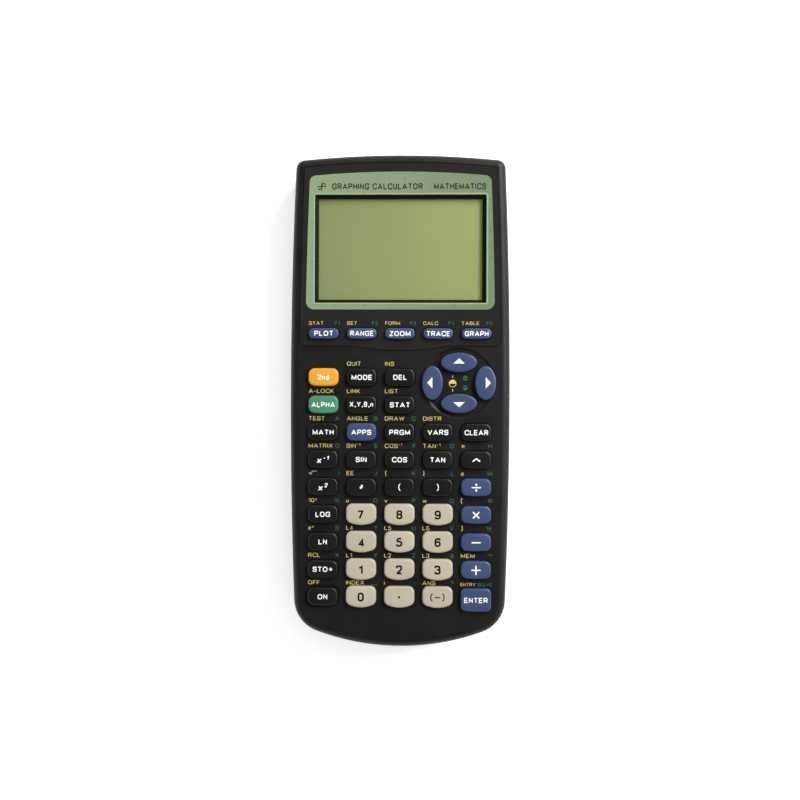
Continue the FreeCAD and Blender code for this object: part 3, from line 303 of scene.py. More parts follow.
def clear_sheet(name):
    """Clear acrylic: see-through, with a thin reflection and faint dust."""
    shader = Shader(name)
    through = shader.add("BsdfTransparent", {"Color": (0.97, 0.98, 0.96, 1.0)})
    dust = shader.levels(shader.noise(7.0, detail=6.0), 0.45, 0.75, 0.03, 0.12)
    shine = shader.add("BsdfGlossy", {"Roughness": dust})
    mirror = shader.add("Fresnel", {"IOR": 1.45}).outputs[0]
    outside = shader.maths("SUBTRACT", 1.0, shader.add("NewGeometry").outputs["Backfacing"])
    share = shader.maths("MULTIPLY", mirror, outside)
    shader.show(shader.add("MixShader", {0: share, 1: through.outputs[0], 2: shine.outputs[0]}))
    return shader.material


TRACK_DENSITY = 0.45


def laminate(name):
    """Green solder resist over a faint net of copper tracks."""
    shader = Shader(name)
    net = {"Vector": shader.place, "Scale": TRACK_DENSITY}
    tracks = shader.add("TexVoronoi", net, feature="DISTANCE_TO_EDGE")
    near = shader.levels(tracks.outputs["Distance"], 0.03, 0.08, 1.0, 0.0)
    shader.set("Base Color", shader.mix(near, screen(24, 84, 48), screen(60, 128, 72)))
    shader.set("Roughness", shader.spread(shader.noise(3.0), 0.28, 0.42))
    shader.bump(near, 0.02)
    return shader.material


CELL_SIDE_X = -31.2
CELL_PITCH = 10.6
CELLS_MIDDLE_Y = 58.15
BAND_START = 10.4
PALE_SLEEVE = screen(170, 176, 180)


def pale_ends(shader, tone):
    """Turns the sleeves of the cells pale at their button ends, which point up and down the bay by turns."""
    place = shader.add("SeparateXYZ", {0: shader.place}).outputs
    number = shader.maths("DIVIDE", shader.maths("SUBTRACT", place["X"], CELL_SIDE_X), CELL_PITCH)
    way = shader.maths("COSINE", shader.maths("MULTIPLY", shader.maths("FLOOR", number), math.pi))
    along = shader.maths("MULTIPLY", shader.maths("SUBTRACT", place["Y"], CELLS_MIDDLE_Y), way)
    return shader.mix(shader.maths("GREATER_THAN", along, BAND_START), tone, PALE_SLEEVE)


CREAM_WORN = screen(186, 178, 160)
KEY_SKIN = {"grain": 0.25, "depth": 0.006}
SLOTS = {
    "case_plastic": moulded(
        "case_plastic", screen(14, 13, 10), 0.5, grain=0.35, depth=0.02, wear=0.35, shine=0.32
    ),
    "faceplate_gloss": polished("faceplate_gloss", screen(34, 33, 31), 0.1),
    "clear_window": clear_sheet("clear_window"),
    # the display's two colours are painted light: darker at the left, brighter at the right
    "display_glass": liquid_crystal("display_glass", screen(128, 136, 92), screen(140, 153, 93)),
    "membrane_rubber": moulded("membrane_rubber", screen(120, 120, 122), 0.6, grain=0.2, wear=0.0),
    "board_laminate": laminate("board_laminate"),
    "cell_cans": moulded("cell_cans", screen(40, 62, 74), 0.3, depth=0.002, wear=0.0, coat=pale_ends),
    "screw_steel": metal("screw_steel", screen(196, 194, 188), 0.3),
    "key_black": moulded("key_black", screen(17, 18, 16), 0.36, shine=0.36, **KEY_SKIN),
    "key_blue": moulded("key_blue", screen(50, 64, 100), 0.38, wear=0.25, **KEY_SKIN),
    "key_orange": moulded("key_orange", screen(212, 145, 32), 0.38, wear=0.25, **KEY_SKIN),
    "key_green": moulded("key_green", screen(60, 125, 92), 0.38, wear=0.25, **KEY_SKIN),
    "key_cream": moulded("key_cream", screen(168, 160, 140), 0.42, worn=CREAM_WORN, wear=0.5, **KEY_SKIN),
}
WHITE_INK = ink("white_ink", screen(232, 232, 228))
BLACK_INK = ink("black_ink", screen(14, 13, 12), 0.6, shine=0.1)
YELLOW_INK = ink("yellow_ink", screen(196, 179, 100))
GREEN_INK = ink("green_ink", screen(32, 96, 70))
# the frame's green darkens towards the right: painted shade over its printed colour
FRAME_INK_SHADED_RIGHT = ink("frame_ink_shaded_right", screen(124, 144, 108), 0.3, thin_share=0.99, right=screen(98, 114, 86))
# painted highlight: the lip's ink is a lighter copy of the frame's green
LIP_HIGHLIGHT_INK = ink("lip_highlight_ink", screen(138, 158, 124), 0.3, thin_share=0.97)
DARK_INK = ink("dark_ink", screen(22, 30, 25), 0.5, shine=0.2)
BLACK_MOULDING = moulded("black_moulding", screen(26, 26, 27), 0.4, depth=0.004, wear=0.1)
# painted shade: a duller, darker black on the display well's sloped walls, where shadow falls
WELL_SHADE_BLACK = moulded("well_shade_black", screen(11, 13, 9), 0.7, depth=0.004, wear=0.0, shine=0.15)
FOOT_RUBBER = moulded("foot_rubber", screen(30, 30, 31), 0.75, grain=0.2, depth=0.02, wear=0.0)
SLEEVE_BLUE = moulded("sleeve_blue", screen(30, 46, 92), 0.3, depth=0.002, wear=0.0)
RIBBON_AMBER = moulded("ribbon_amber", screen(150, 92, 30), 0.35, depth=0.002, wear=0.0)


# -------- CAD nodes


def paint(node, *coats):
    """Gives a CAD node its slot's material, and each coat (material, test) to the faces that pass its test.

    A test takes a face's middle, in millimetres, and its normal."""
    item = frame["nodes"][node]
    slots = {part["node"]: part["material_slot"] for part in frame["record"]["subparts"]}
    item.data.materials.clear()
    item.data.materials.append(SLOTS[slots[node]])
    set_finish(item, slots[node])
    for material, test in coats:
        item.data.materials.append(material)
        index = len(item.data.materials) - 1
        for face in item.data.polygons:
            if test(face.center / MM, face.normal):
                face.material_index = index


FOOT_PLACES = [(x, y) for x in (-24.0, 24.0) for y in (87.0, -80.5)]
FOOT_REACH = 2.85
FOOT_TOP = 1.09
JACK_AXIS = 9.4
JACK_LENGTH_END = -78.0
JACK_BORE = 1.3
# the upward part of the normals of the display well's sloped walls
STEEPEST_WALL = 0.3
FLATTEST_WALL = 0.97
# the steel rim of the display's glass: its faces lie farther out than this
GLASS_MIDDLE_Y = 56.83
GLASS_REACH = (33.55, 21.85)
DRIVER_BOARD = ((-34.1, 32.0, 15.05), (34.1, 81.0, 16.15))
RIBBON = ((-13.0, 28.0, 14.0), (13.0, 32.9, 15.8))
BOARD_LOW = 12.35
CAPACITOR = ((-23.1, 10.9, 5.0), (-16.9, 17.1, BOARD_LOW))
CRYSTAL = ((0.3, -43.7, 7.0), (3.7, -40.3, BOARD_LOW))
COIN_CELL_LEFT = 13.0
END_FACING = 0.7


def on_foot(middle, normal):
    spots = [math.dist((middle.x, middle.y), place) for place in FOOT_PLACES]
    return middle.z < FOOT_TOP and min(spots) < FOOT_REACH


def within(low, high):
    """A test for faces whose middle lies in a box, given by two corners in millimetres."""
    return lambda middle, normal: all(a <= m <= b for a, m, b in zip(low, middle, high))


def in_jack_bore(middle, normal):
    return middle.y < JACK_LENGTH_END and math.hypot(middle.x, middle.z - JACK_AXIS) < JACK_BORE


def well_walls():
    """A test for the sloped walls of the front case round the display."""
    reach = Vector((OPENING_WIDTH / 2 + LIP_WIDTH, OPENING_HEIGHT / 2 + LIP_WIDTH, WELL_DEPTH))
    display = middle_of("display_window")
    in_well = within(display - reach, display + reach)
    return lambda middle, normal: STEEPEST_WALL < normal.z < FLATTEST_WALL and in_well(middle, normal)


def on_glass_rim(middle, normal):
    return abs(middle.x) > GLASS_REACH[0] or abs(middle.y - GLASS_MIDDLE_Y) > GLASS_REACH[1]


def below_board(middle, normal):
    return middle.z < BOARD_LOW


def on_bare_cell(middle, normal):
    """The ends of the cells, and the coin cell."""
    return abs(normal.y) > END_FACING or middle.x > COIN_CELL_LEFT


def paint_frame():
    steel = SLOTS["screw_steel"]
    # the well's sloped walls get the darker black as painted shade
    paint("front_case", (WELL_SHADE_BLACK, well_walls()))
    paint(
        "display_module",
        (steel, on_glass_rim),
        (SLOTS["board_laminate"], within(*DRIVER_BOARD)),
        (RIBBON_AMBER, within(*RIBBON)),
    )
    paint(
        "main_board",
        (BLACK_MOULDING, below_board),
        (SLEEVE_BLUE, within(*CAPACITOR)),
        (steel, within(*CRYSTAL)),
        (steel, in_jack_bore),
    )
    paint("rear_case", (FOOT_RUBBER, on_foot))
    paint("batteries", (steel, on_bare_cell))
    for node in ("faceplate", "display_window", "keypad_membrane", "battery_door", "hardware"):
        paint(node)


# -------- pieces made of rings


def add_piece(name, mesh, material, body, slot):
    """Puts a finished mesh in the scene as a piece that rides on a body."""
    mesh.materials.append(material)
    piece = bpy.data.objects.new(name, mesh)
    bpy.context.scene.collection.objects.link(piece)
    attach(piece, body)
    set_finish(piece, slot)
    return piece


CREASE_ANGLE = math.radians(35)


def smooth(mesh):
    """Shades the mesh round, with a crease wherever two faces meet at more than CREASE_ANGLE."""
    mesh.polygons.foreach_set("use_smooth", [True] * len(mesh.polygons))
    mesh.set_sharp_from_angle(angle=CREASE_ANGLE)


def belt(low, high, count):
    """The faces between two rings of points, given by the numbers of their first points."""
    return [(low + i, low + (i + 1) % count, high + (i + 1) % count, high + i) for i in range(count)]


def stack(rings):
    """A closed mesh through rings of equally many points, the first and last ring capped."""
    count = len(rings[0])
    points = [point for ring in rings for point in ring]
    faces = [list(range(count))[::-1]]
    for level in range(len(rings) - 1):
        faces += belt(level * count, (level + 1) * count, count)
    last = (len(rings) - 1) * count
    middle = len(points)
    points.append(sum((Vector(point) for point in rings[-1]), Vector()) / count)
    faces += [(last + i, last + (i + 1) % count, middle) for i in range(count)]
    return points, faces


FULL_TURN = math.radians(360)


def arc(centre, radius, start, end, count):
    """Points along an arc, angles in radians, without its last point."""
    turns = [start + (end - start) * step / count for step in range(count)]
    return [(centre[0] + radius * math.cos(turn), centre[1] + radius * math.sin(turn)) for turn in turns]


def line(start, end, count):
    """Points along a line, without its last point."""
    return [tuple(a + (b - a) * step / count for a, b in zip(start, end)) for step in range(count)]


# how many steps each stretch of a key's outline has
BOTTOM_STEPS = 10
CORNER_STEPS = 6
SIDE_STEPS = 3
TOP_STEPS = 8
ELLIPSE_STEPS = 56


def cushion(width, height, corner, bottom, inset):
    """A key's outline moved inwards: flat top edge, upright sides, round corners, bowed bottom edge."""
    half, top = width / 2 - inset, height / 2 - inset
    small, big = corner - inset, bottom - inset
    bow = bottom - height / 2
    low = bow - math.sqrt((big - small) ** 2 - (half - small) ** 2)
    lean = math.atan2(half - small, bow - low)
    down, right, up, left = math.radians(-90), 0.0, math.radians(90), math.radians(180)
    return (
        arc((0, bow), big, down - lean, down + lean, BOTTOM_STEPS)
        + arc((half - small, low), small, down + lean, right, CORNER_STEPS)
        + line((half, low), (half, top - small), SIDE_STEPS)
        + arc((half - small, top - small), small, right, up, CORNER_STEPS)
        + line((half - small, top), (small - half, top), TOP_STEPS)
        + arc((small - half, top - small), small, up, left, CORNER_STEPS)
        + line((-half, top - small), (-half, low), SIDE_STEPS)
        + arc((small - half, low), small, left, math.radians(270) - lean, CORNER_STEPS)
    )


def ellipse(width, height, inset):
    turns = [FULL_TURN * step / ELLIPSE_STEPS for step in range(ELLIPSE_STEPS)]
    return [((width / 2 - inset) * math.cos(t), (height / 2 - inset) * math.sin(t)) for t in turns]


# -------- keys

FLANGE_MARGIN = 0.6
FLANGE_THICKNESS = 1.2
KEY_EDGE = 0.7
KEY_DRAFT = 0.05
ROLL_STEPS = 6
CROWN_FALL = 0.2
CROWN_RINGS = (0.85, 0.65, 0.45, 0.25)
# corner radius and bottom radius of each family of cushion-shaped key
CUSHIONS = {
    "plain": (2.3, 45.0),
    "number": (2.3, 11.0),
    "function": (1.8, 60.0),
    "enter": (1.8, 60.0),
}


def key_outline(family, width, height, inset):
    if family == "cursor":
        return ellipse(width, height, inset)
    return cushion(width, height, *CUSHIONS[family], inset)


def make_cap(node, family):
    """A key cap with a flange, a rolled edge and a gently crowned top. Returns its points and faces."""
    low, high = box_of(node)
    middle = middle_of(node)
    width, height = (high - low).xy - Vector((2, 2)) * FLANGE_MARGIN

    def crown(x, y):
        return high.z - CROWN_FALL * ((2 * x / width) ** 2 + (2 * y / height) ** 2) / 2

    def ring(inset, level=None, drop=0.0, share=1.0):
        outline = [(x * share, y * share) for x, y in key_outline(family, width, height, inset)]
        heights = [crown(x, y) - drop if level is None else level for x, y in outline]
        return [Vector((middle.x + x, middle.y + y, z)) * MM for (x, y), z in zip(outline, heights)]

    shoulder = low.z + FLANGE_THICKNESS
    rings = [ring(-FLANGE_MARGIN, low.z), ring(-FLANGE_MARGIN, shoulder), ring(-KEY_DRAFT, shoulder)]
    for step in range(ROLL_STEPS + 1):
        turn = math.radians(90) * step / ROLL_STEPS
        rings.append(ring(KEY_EDGE * (1 - math.cos(turn)), drop=KEY_EDGE * (1 - math.sin(turn))))
    rings += [ring(KEY_EDGE, share=share) for share in CROWN_RINGS]
    return stack(rings)


# -------- prints

INK_RISE = 0.025
INK_SINK = 0.03
LAYER = 0.002
LAYERS = 4
TINY = 1e-3
WELD_REACH = 1e-4
MITRE_LIMIT = 1.6
SHARPEST_TURN = 0.2
BEND = 0.42
BEND_STEPS = 6
LETTER_GAP = 0.17
RAISED = {"⁻": "-", "¹": "1", "²": "2", "ˣ": "x"}
RAISED_SIZE = 0.62
RAISED_BY = 0.5
RAISED_BOLD = 0.75


def hoop(right, high=1, left=0, low=0):
    """A closed stroke with four corners."""
    return [(left, low), (left, high), (right, high), (right, low), (left, low)]


STEM = [(0, 0), (0, 1)]
# Each sign's width and the middle lines of its strokes, as shares of a capital's height.
# A stroke that ends where it starts is a closed one.
SIGNS = {
    "A": (0.78, [(0, 0), (0.39, 1), (0.78, 0)], [(0.15, 0.28), (0.63, 0.28)]),
    "B": (
        0.66,
        STEM,
        [(0, 1), (0.6, 1), (0.6, 0.52), (0, 0.52)],
        [(0, 0.52), (0.66, 0.52), (0.66, 0), (0, 0)],
    ),
    "C": (0.68, [(0.68, 0.7), (0.68, 1), (0, 1), (0, 0), (0.68, 0), (0.68, 0.3)]),
    "D": (0.66, STEM, [(0, 1), (0.66, 1), (0.66, 0), (0, 0)]),
    "E": (0.55, [(0.55, 1), (0, 1), (0, 0), (0.55, 0)], [(0, 0.52), (0.5, 0.52)]),
    "F": (0.52, [(0.52, 1), (0, 1), (0, 0)], [(0, 0.5), (0.46, 0.5)]),
    "G": (0.7, [(0.7, 0.7), (0.7, 1), (0, 1), (0, 0), (0.7, 0), (0.7, 0.45), (0.4, 0.45)]),
    "H": (0.6, STEM, [(0.6, 0), (0.6, 1)], [(0, 0.52), (0.6, 0.52)]),
    "I": (0.0, STEM),
    "J": (0.45, [(0.45, 1), (0.45, 0), (0, 0), (0, 0.3)]),
    "K": (0.64, STEM, [(0.6, 1), (0, 0.38)], [(0.2, 0.58), (0.64, 0)]),
    "L": (0.5, [(0, 1), (0, 0), (0.5, 0)]),
    "M": (0.8, [(0, 0), (0, 1), (0.4, 0.12), (0.8, 1), (0.8, 0)]),
    "N": (0.6, [(0, 0), (0, 1), (0.6, 0), (0.6, 1)]),
    "O": (0.72, hoop(0.72)),
    "P": (0.6, STEM, [(0, 1), (0.6, 1), (0.6, 0.45), (0, 0.45)]),
    "Q": (0.72, hoop(0.72), [(0.45, 0.25), (0.75, -0.05)]),
    "R": (0.64, STEM, [(0, 1), (0.62, 1), (0.62, 0.48), (0, 0.48)], [(0.35, 0.48), (0.64, 0)]),
    "S": (0.6, [(0.58, 0.74), (0.58, 1), (0, 1), (0, 0.52), (0.6, 0.52), (0.6, 0), (0, 0), (0, 0.26)]),
    "T": (0.62, [(0, 1), (0.62, 1)], [(0.31, 0), (0.31, 1)]),
    "U": (0.6, [(0, 1), (0, 0), (0.6, 0), (0.6, 1)]),
    "V": (0.7, [(0, 1), (0.35, 0), (0.7, 1)]),
    "W": (1.0, [(0, 1), (0.25, 0), (0.5, 0.95), (0.75, 0), (1.0, 1)]),
    "X": (0.66, [(0, 0), (0.66, 1)], [(0, 1), (0.66, 0)]),
    "Y": (0.66, [(0, 1), (0.33, 0.45), (0.66, 1)], [(0.33, 0), (0.33, 0.45)]),
    "Z": (0.56, [(0, 1), (0.56, 1), (0, 0), (0.56, 0)]),
    "0": (0.5, hoop(0.5)),
    "1": (0.3, [(0, 0.76), (0.3, 1), (0.3, 0)]),
    "2": (0.5, [(0, 0.72), (0, 1), (0.5, 1), (0.5, 0.55), (0, 0)], [(0, 0), (0.52, 0)]),
    "3": (
        0.5,
        [(0, 0.76), (0, 1), (0.47, 1), (0.47, 0.53), (0.2, 0.53)],
        [(0.2, 0.53), (0.5, 0.53), (0.5, 0), (0, 0), (0, 0.24)],
    ),
    "4": (0.52, [(0.52, 0.27), (0, 0.27), (0.37, 1), (0.37, 0)]),
    "5": (
        0.5,
        [(0.47, 1), (0.06, 1)],
        [(0.06, 1), (0.03, 0.56)],
        [(0.03, 0.6), (0.5, 0.6), (0.5, 0), (0, 0), (0, 0.24)],
    ),
    "6": (0.5, hoop(0.5, 0.58), [(0.48, 0.8), (0.48, 1), (0, 1), (0, 0.3)]),
    "7": (0.5, [(0, 1), (0.5, 1), (0.16, 0)]),
    "8": (0.5, hoop(0.5, 0.54), hoop(0.48, 1, 0.02, 0.54)),
    "9": (0.5, hoop(0.5, 1, 0, 0.42), [(0.02, 0.2), (0.02, 0), (0.5, 0), (0.5, 0.7)]),
    "d": (0.44, hoop(0.44, 0.66), [(0.44, 0), (0.44, 1)]),
    "e": (0.46, [(0, 0.34), (0.46, 0.34), (0.46, 0.68), (0, 0.68), (0, 0), (0.44, 0)]),
    "i": (0.0, [(0, 0), (0, 0.62)], [(0, 0.9), (0, 1)]),
    "n": (0.42, [(0, 0), (0, 0.66)], [(0, 0.4), (0, 0.66), (0.42, 0.66), (0.42, 0)]),
    "u": (0.42, [(0, 0.66), (0, 0), (0.42, 0), (0.42, 0.66)]),
    "v": (0.5, [(0, 0.66), (0.25, 0), (0.5, 0.66)]),
    "w": (0.72, [(0, 0.66), (0.18, 0), (0.36, 0.62), (0.54, 0), (0.72, 0.66)]),
    "x": (0.5, [(0, 0), (0.5, 0.66)], [(0, 0.66), (0.5, 0)]),
    "π": (0.7, [(0, 0.68), (0.7, 0.68)], [(0.18, 0), (0.18, 0.68)], [(0.52, 0), (0.52, 0.68)]),
    "θ": (0.5, hoop(0.5), [(0, 0.5), (0.5, 0.5)]),
    "√": (1.7, [(0, 0.5), (0.16, 0.58), (0.4, 0), (0.75, 1), (1.7, 1)]),
    "(": (0.22, [(0.22, 1.15), (0, 0.85), (0, 0.15), (0.22, -0.15)]),
    "{": (
        0.3,
        [(0.3, 1.1), (0.15, 1.1), (0.15, 0.5), (0, 0.5)],
        [(0, 0.5), (0.15, 0.5), (0.15, -0.1), (0.3, -0.1)],
    ),
    "[": (0.22, [(0.22, 1.1), (0, 1.1), (0, -0.1), (0.22, -0.1)]),
    ",": (0.14, [(0.14, 0.12), (0.14, -0.02), (0, -0.22)]),
    ":": (0.0, [(0, 0), (0, 0.12)], [(0, 0.55), (0, 0.67)]),
    "?": (
        0.48,
        [(0, 0.74), (0, 1), (0.48, 1), (0.48, 0.56), (0.24, 0.5), (0.24, 0.28)],
        [(0.24, 0), (0.24, 0.04)],
    ),
    '"': (0.4, [(0, 0.5), (0, 1)], [(0.4, 0.5), (0.4, 1)]),
    "_": (0.8, [(0, 0.1), (0, -0.1), (0.8, -0.1), (0.8, 0.1)]),
    "-": (0.34, [(0, 0.42), (0.34, 0.42)]),
    "→": (0.56, [(0, 0.5), (0.5, 0.5)], [(0.26, 0.86), (0.56, 0.5), (0.26, 0.14)]),
    "−": (0.8, [(0, 0.5), (0.8, 0.5)]),
    " ": (0.1,),
}


def flipped(width, *strokes):
    """A sign turned left to right."""
    return width, *([(width - x, y) for x, y in stroke] for stroke in strokes)


SIGNS |= {closing: flipped(*SIGNS[opening]) for opening, closing in ("()", "{}", "[]")}
BENT_SIGNS = "BCDGJOPQRSU0235689denuθ(){}?"


def bent(points, closed, bend):
    """The points of a stroke with its corners rounded off, each by the bend or as far as its sides allow."""
    count = len(points)
    softened = []
    for index, point in enumerate(points):
        if not closed and index in (0, count - 1):
            softened.append(point)
            continue
        before, after = points[index - 1] - point, points[(index + 1) % count] - point
        room = min(bend, before.length * 0.5, after.length * 0.5)
        start, end = point + before.normalized() * room, point + after.normalized() * room
        for step in range(BEND_STEPS + 1):
            t = step / BEND_STEPS
            softened.append(start.lerp(point, t).lerp(point.lerp(end, t), t))
    return [spot for spot, before in zip(softened, softened[-1:] + softened) if (spot - before).length > TINY]


def ribbon(points, thick, closed):
    """The outlines of a stroke of even thickness along the points. Outer corners stop at MITRE_LIMIT."""
    count = len(points)
    sides = []
    for way in (1, -1):
        side = []
        for index, point in enumerate(points):
            into = point - points[index - 1] if closed or index else points[1] - point
            onward = points[(index + 1) % count] - point if closed or index < count - 1 else into
            into, onward = into.normalized(), onward.normalized()
            along = (into + onward).normalized()
            stretch = 1 / max(along.dot(into), SHARPEST_TURN)
            if into.cross(onward) * way > 0:
                stretch = min(stretch, MITRE_LIMIT)
            side.append(point + Vector((along.y, -along.x)) * way * stretch * thick / 2)
        sides.append(side)
    return sides if closed else [sides[0] + sides[1][::-1]]


def sign_shapes(sign, corner, size, thick):
    """The shapes of one sign with its lower left corner at a point, each as the loops round its ink."""
    shapes = []
    half_stroke = Vector((thick, thick)) / 2
    for stroke in SIGNS[sign][1:]:
        points = [Vector((x * size, y * (size - thick))) + corner + half_stroke for x, y in stroke]
        closed = stroke[0] == stroke[-1]
        points = points[:-1] if closed else points
        if sign in BENT_SIGNS:
            points = bent(points, closed, BEND * size)
        shapes.append(ribbon(points, thick, closed))
    return shapes


def text(words, height, bold, limit=None, wide=1.0):
    """Words as a thin mesh in millimetres, with capitals height high and strokes of bold times that.

    They start at the origin and run to the right, drawn wide times as wide unless the limit is narrower."""
    shapes = []
    x = 0.0
    for sign in words:
        size, level, thick = height, 0.0, bold * height
        if sign in RAISED:
            sign = RAISED[sign]
            size *= RAISED_SIZE
            level = height * RAISED_BY
            thick *= RAISED_BOLD
        shapes += sign_shapes(sign, Vector((x, level)), size, thick)
        x += SIGNS[sign][0] * size + thick + LETTER_GAP * height
    width = x - LETTER_GAP * height
    share = min(wide, limit / width) if limit else wide
    mesh = layered([filled(*shape) for shape in shapes])
    mesh.transform(Matrix.Diagonal((share, 1, 1, 1)))
    return mesh


def join(name, meshes, finished=False):
    """One mesh out of several. A finished one is welded, faces outwards and is in metres."""
    whole = bmesh.new()
    for mesh in meshes:
        whole.from_mesh(mesh)
        bpy.data.meshes.remove(mesh)
    if finished:
        bmesh.ops.remove_doubles(whole, verts=whole.verts, dist=WELD_REACH)
        bmesh.ops.recalc_face_normals(whole, faces=whole.faces)
        bmesh.ops.scale(whole, vec=(MM, MM, MM), verts=whole.verts)
    joined = bpy.data.meshes.new(name)
    whole.to_mesh(joined)
    whole.free()
    return joined


def layered(meshes):
    """One mesh out of overlapping ones, at slightly different heights, so that no two faces coincide."""
    return join("layered", [moved(mesh, 0, 0, index % LAYERS * LAYER) for index, mesh in enumerate(meshes)])


def solid_of(curve):
    """The mesh of a filled and extruded curve, which is then removed. Its base lies INK_SINK below 0."""
    item = bpy.data.objects.new("outline", curve)
    bpy.context.scene.collection.objects.link(item)
    bpy.context.view_layer.update()
    mesh = bpy.data.meshes.new_from_object(item.evaluated_get(bpy.context.evaluated_depsgraph_get()))
    bpy.data.objects.remove(item)
    bpy.data.curves.remove(curve)
    mesh.transform(Matrix.Translation((0, 0, (INK_RISE - INK_SINK) / 2)))
    return mesh


def filled(*loops):
    """A thin raised shape in millimetres inside the first loop of points and outside the others."""
    curve = bpy.data.curves.new("shape", "CURVE")
    curve.dimensions = "2D"
    curve.fill_mode = "BOTH"
    curve.extrude = (INK_RISE + INK_SINK) / 2
    for loop in loops:
        spline = curve.splines.new("POLY")
        spline.points.add(len(loop) - 1)
        spline.use_cyclic_u = True
        for point, (x, y) in zip(spline.points, loop):
            point.co = (x, y, 0, 1)
    return solid_of(curve)


def extent(mesh):
    """Least and greatest x and y of a mesh."""
    xs = [vertex.co.x for vertex in mesh.vertices]
    ys = [vertex.co.y for vertex in mesh.vertices]
    return min(xs), max(xs), min(ys), max(ys)


def moved(mesh, x, y, z=0.0):
    mesh.transform(Matrix.Translation((x, y, z)))
    return mesh


def centred(mesh):
    left, right, low, high = extent(mesh)
    return moved(mesh, -(left + right) / 2, -(low + high) / 2)


def level_at(x, y, *surfaces):
    """Height of the topmost of the surfaces under a point, in metres."""
    hits = [surface.ray_cast(Vector((x, y, 1.0)), Vector((0, 0, -1)))[0] for surface in surfaces]
    return max(hit.z for hit in hits if hit)


def drape(mesh, surface):
    """Lets a flat mesh in metres lie on a surface, point by point."""
    for vertex in mesh.vertices:
        vertex.co.z += level_at(vertex.co.x, vertex.co.y, surface)


def skin_of(node):
    """The surface of a CAD node, in metres."""
    mesh = frame["nodes"][node].data
    points = [vertex.co for vertex in mesh.vertices]
    return BVHTree.FromPolygons(points, [tuple(face.vertices) for face in mesh.polygons])


TRIANGLE_SPAN = 4.2
TRIANGLE_RISE = 1.9


def triangle(turn, shift):
    """A cursor arrow pointing at an angle in degrees, moved by shift along it."""
    half, rise = TRIANGLE_SPAN / 2, TRIANGLE_RISE / 2
    mesh = filled([(shift + rise, 0.0), (shift - rise, half), (shift - rise, -half)])
    mesh.transform(Matrix.Rotation(math.radians(turn), 4, "Z"))
    return mesh


# family, legend, second meaning, letter
KEYS = {
    "key_f1": ("function", "PLOT", "STAT", "F1"),
    "key_f2": ("function", "RANGE", "SET", "F2"),
    "key_f3": ("function", "ZOOM", "FORM", "F3"),
    "key_f4": ("function", "TRACE", "CALC", "F4"),
    "key_f5": ("function", "GRAPH", "TABLE", "F5"),
    "key_2nd": ("plain", "2nd", "", ""),
    "key_mode": ("plain", "MODE", "QUIT", ""),
    "key_delete": ("plain", "DEL", "INS", ""),
    "key_alpha": ("plain", "ALPHA", "A-LOCK", ""),
    "key_variable": ("plain", "X,Y,θ,n", "LINK", ""),
    "key_stat": ("plain", "STAT", "LIST", ""),
    "key_math": ("plain", "MATH", "TEST", "A"),
    "key_apps": ("plain", "APPS", "ANGLE", "B"),
    "key_program": ("plain", "PRGM", "DRAW", "C"),
    "key_vars": ("plain", "VARS", "DISTR", ""),
    "key_clear": ("plain", "CLEAR", "", ""),
    "key_reciprocal": ("plain", "x⁻¹", "MATRIX", "D"),
    "key_sin": ("plain", "SIN", "SIN⁻¹", "E"),
    "key_cos": ("plain", "COS", "COS⁻¹", "F"),
    "key_tan": ("plain", "TAN", "TAN⁻¹", "G"),
    "key_power": ("plain", "^", "π", "H"),
    "key_square": ("plain", "x²", "√", "I"),
    "key_comma": ("plain", ",", "EE", "J"),
    "key_open_bracket": ("plain", "(", "{", "K"),
    "key_close_bracket": ("plain", ")", "}", "L"),
    "key_divide": ("plain", "÷", "e", "M"),
    "key_log": ("plain", "LOG", "10ˣ", "N"),
    "key_7": ("number", "7", "u", "O"),
    "key_8": ("number", "8", "v", "P"),
    "key_9": ("number", "9", "w", "Q"),
    "key_multiply": ("plain", "×", "[", "R"),
    "key_ln": ("plain", "LN", "eˣ", "S"),
    "key_4": ("number", "4", "L4", "T"),
    "key_5": ("number", "5", "L5", "U"),
    "key_6": ("number", "6", "L6", "V"),
    "key_minus": ("plain", "−", "]", "W"),
    "key_store": ("plain", "STO→", "RCL", "X"),
    "key_1": ("number", "1", "L1", "Y"),
    "key_2": ("number", "2", "L2", "Z"),
    "key_3": ("number", "3", "L3", "θ"),
    "key_plus": ("plain", "+", "MEM", '"'),
    "key_on": ("plain", "ON", "OFF", ""),
    "key_0": ("number", "0", "INDEX", "_"),
    "key_point": ("number", ".", "i", ":"),
    "key_negate": ("number", "(−)", "ANS", "?"),
    "key_enter": ("enter", "ENTER", "ENTRY", "SOLVE"),
}
# cursor keys: the way each one's arrow points, in degrees, and how far out from the key's middle it stands
CURSORS = {"key_up": (90, 0.5), "key_left": (180, 1.0), "key_right": (0, 1.0), "key_down": (-90, 0.5)}
# height and boldness of the legends that aren't plain words
SIZES = {
    ",": (4.6, 0.16),
    "(": (2.3, 0.14),
    ")": (2.3, 0.14),
    "(−)": (2.6, 0.15),
    "x⁻¹": (2.5, 0.18),
    "x²": (2.5, 0.18),
}
STROKE = 0.48
DISC_STEPS = 20


def band(start, end, thick=STROKE):
    """The outline of a straight stroke with square ends."""
    start, end = Vector(start), Vector(end)
    side = (end - start).orthogonal().normalized() * thick / 2
    return [start + side, start - side, end - side, end + side]


def disc(y, radius, steps=DISC_STEPS):
    return arc((0.0, y), radius, 0.0, FULL_TURN, steps)


BAR_REACH = 1.7
CROSS_REACH = 1.2
CARET_FOOT = (1.4, -0.55)
CARET_TIP = (-0.15, 0.6)
DOT_LEVEL = 1.05
DOT_RADIUS = 0.4
POINT_RADIUS = 0.45
LEVEL_BAR = band((-BAR_REACH, 0.0), (BAR_REACH, 0.0))
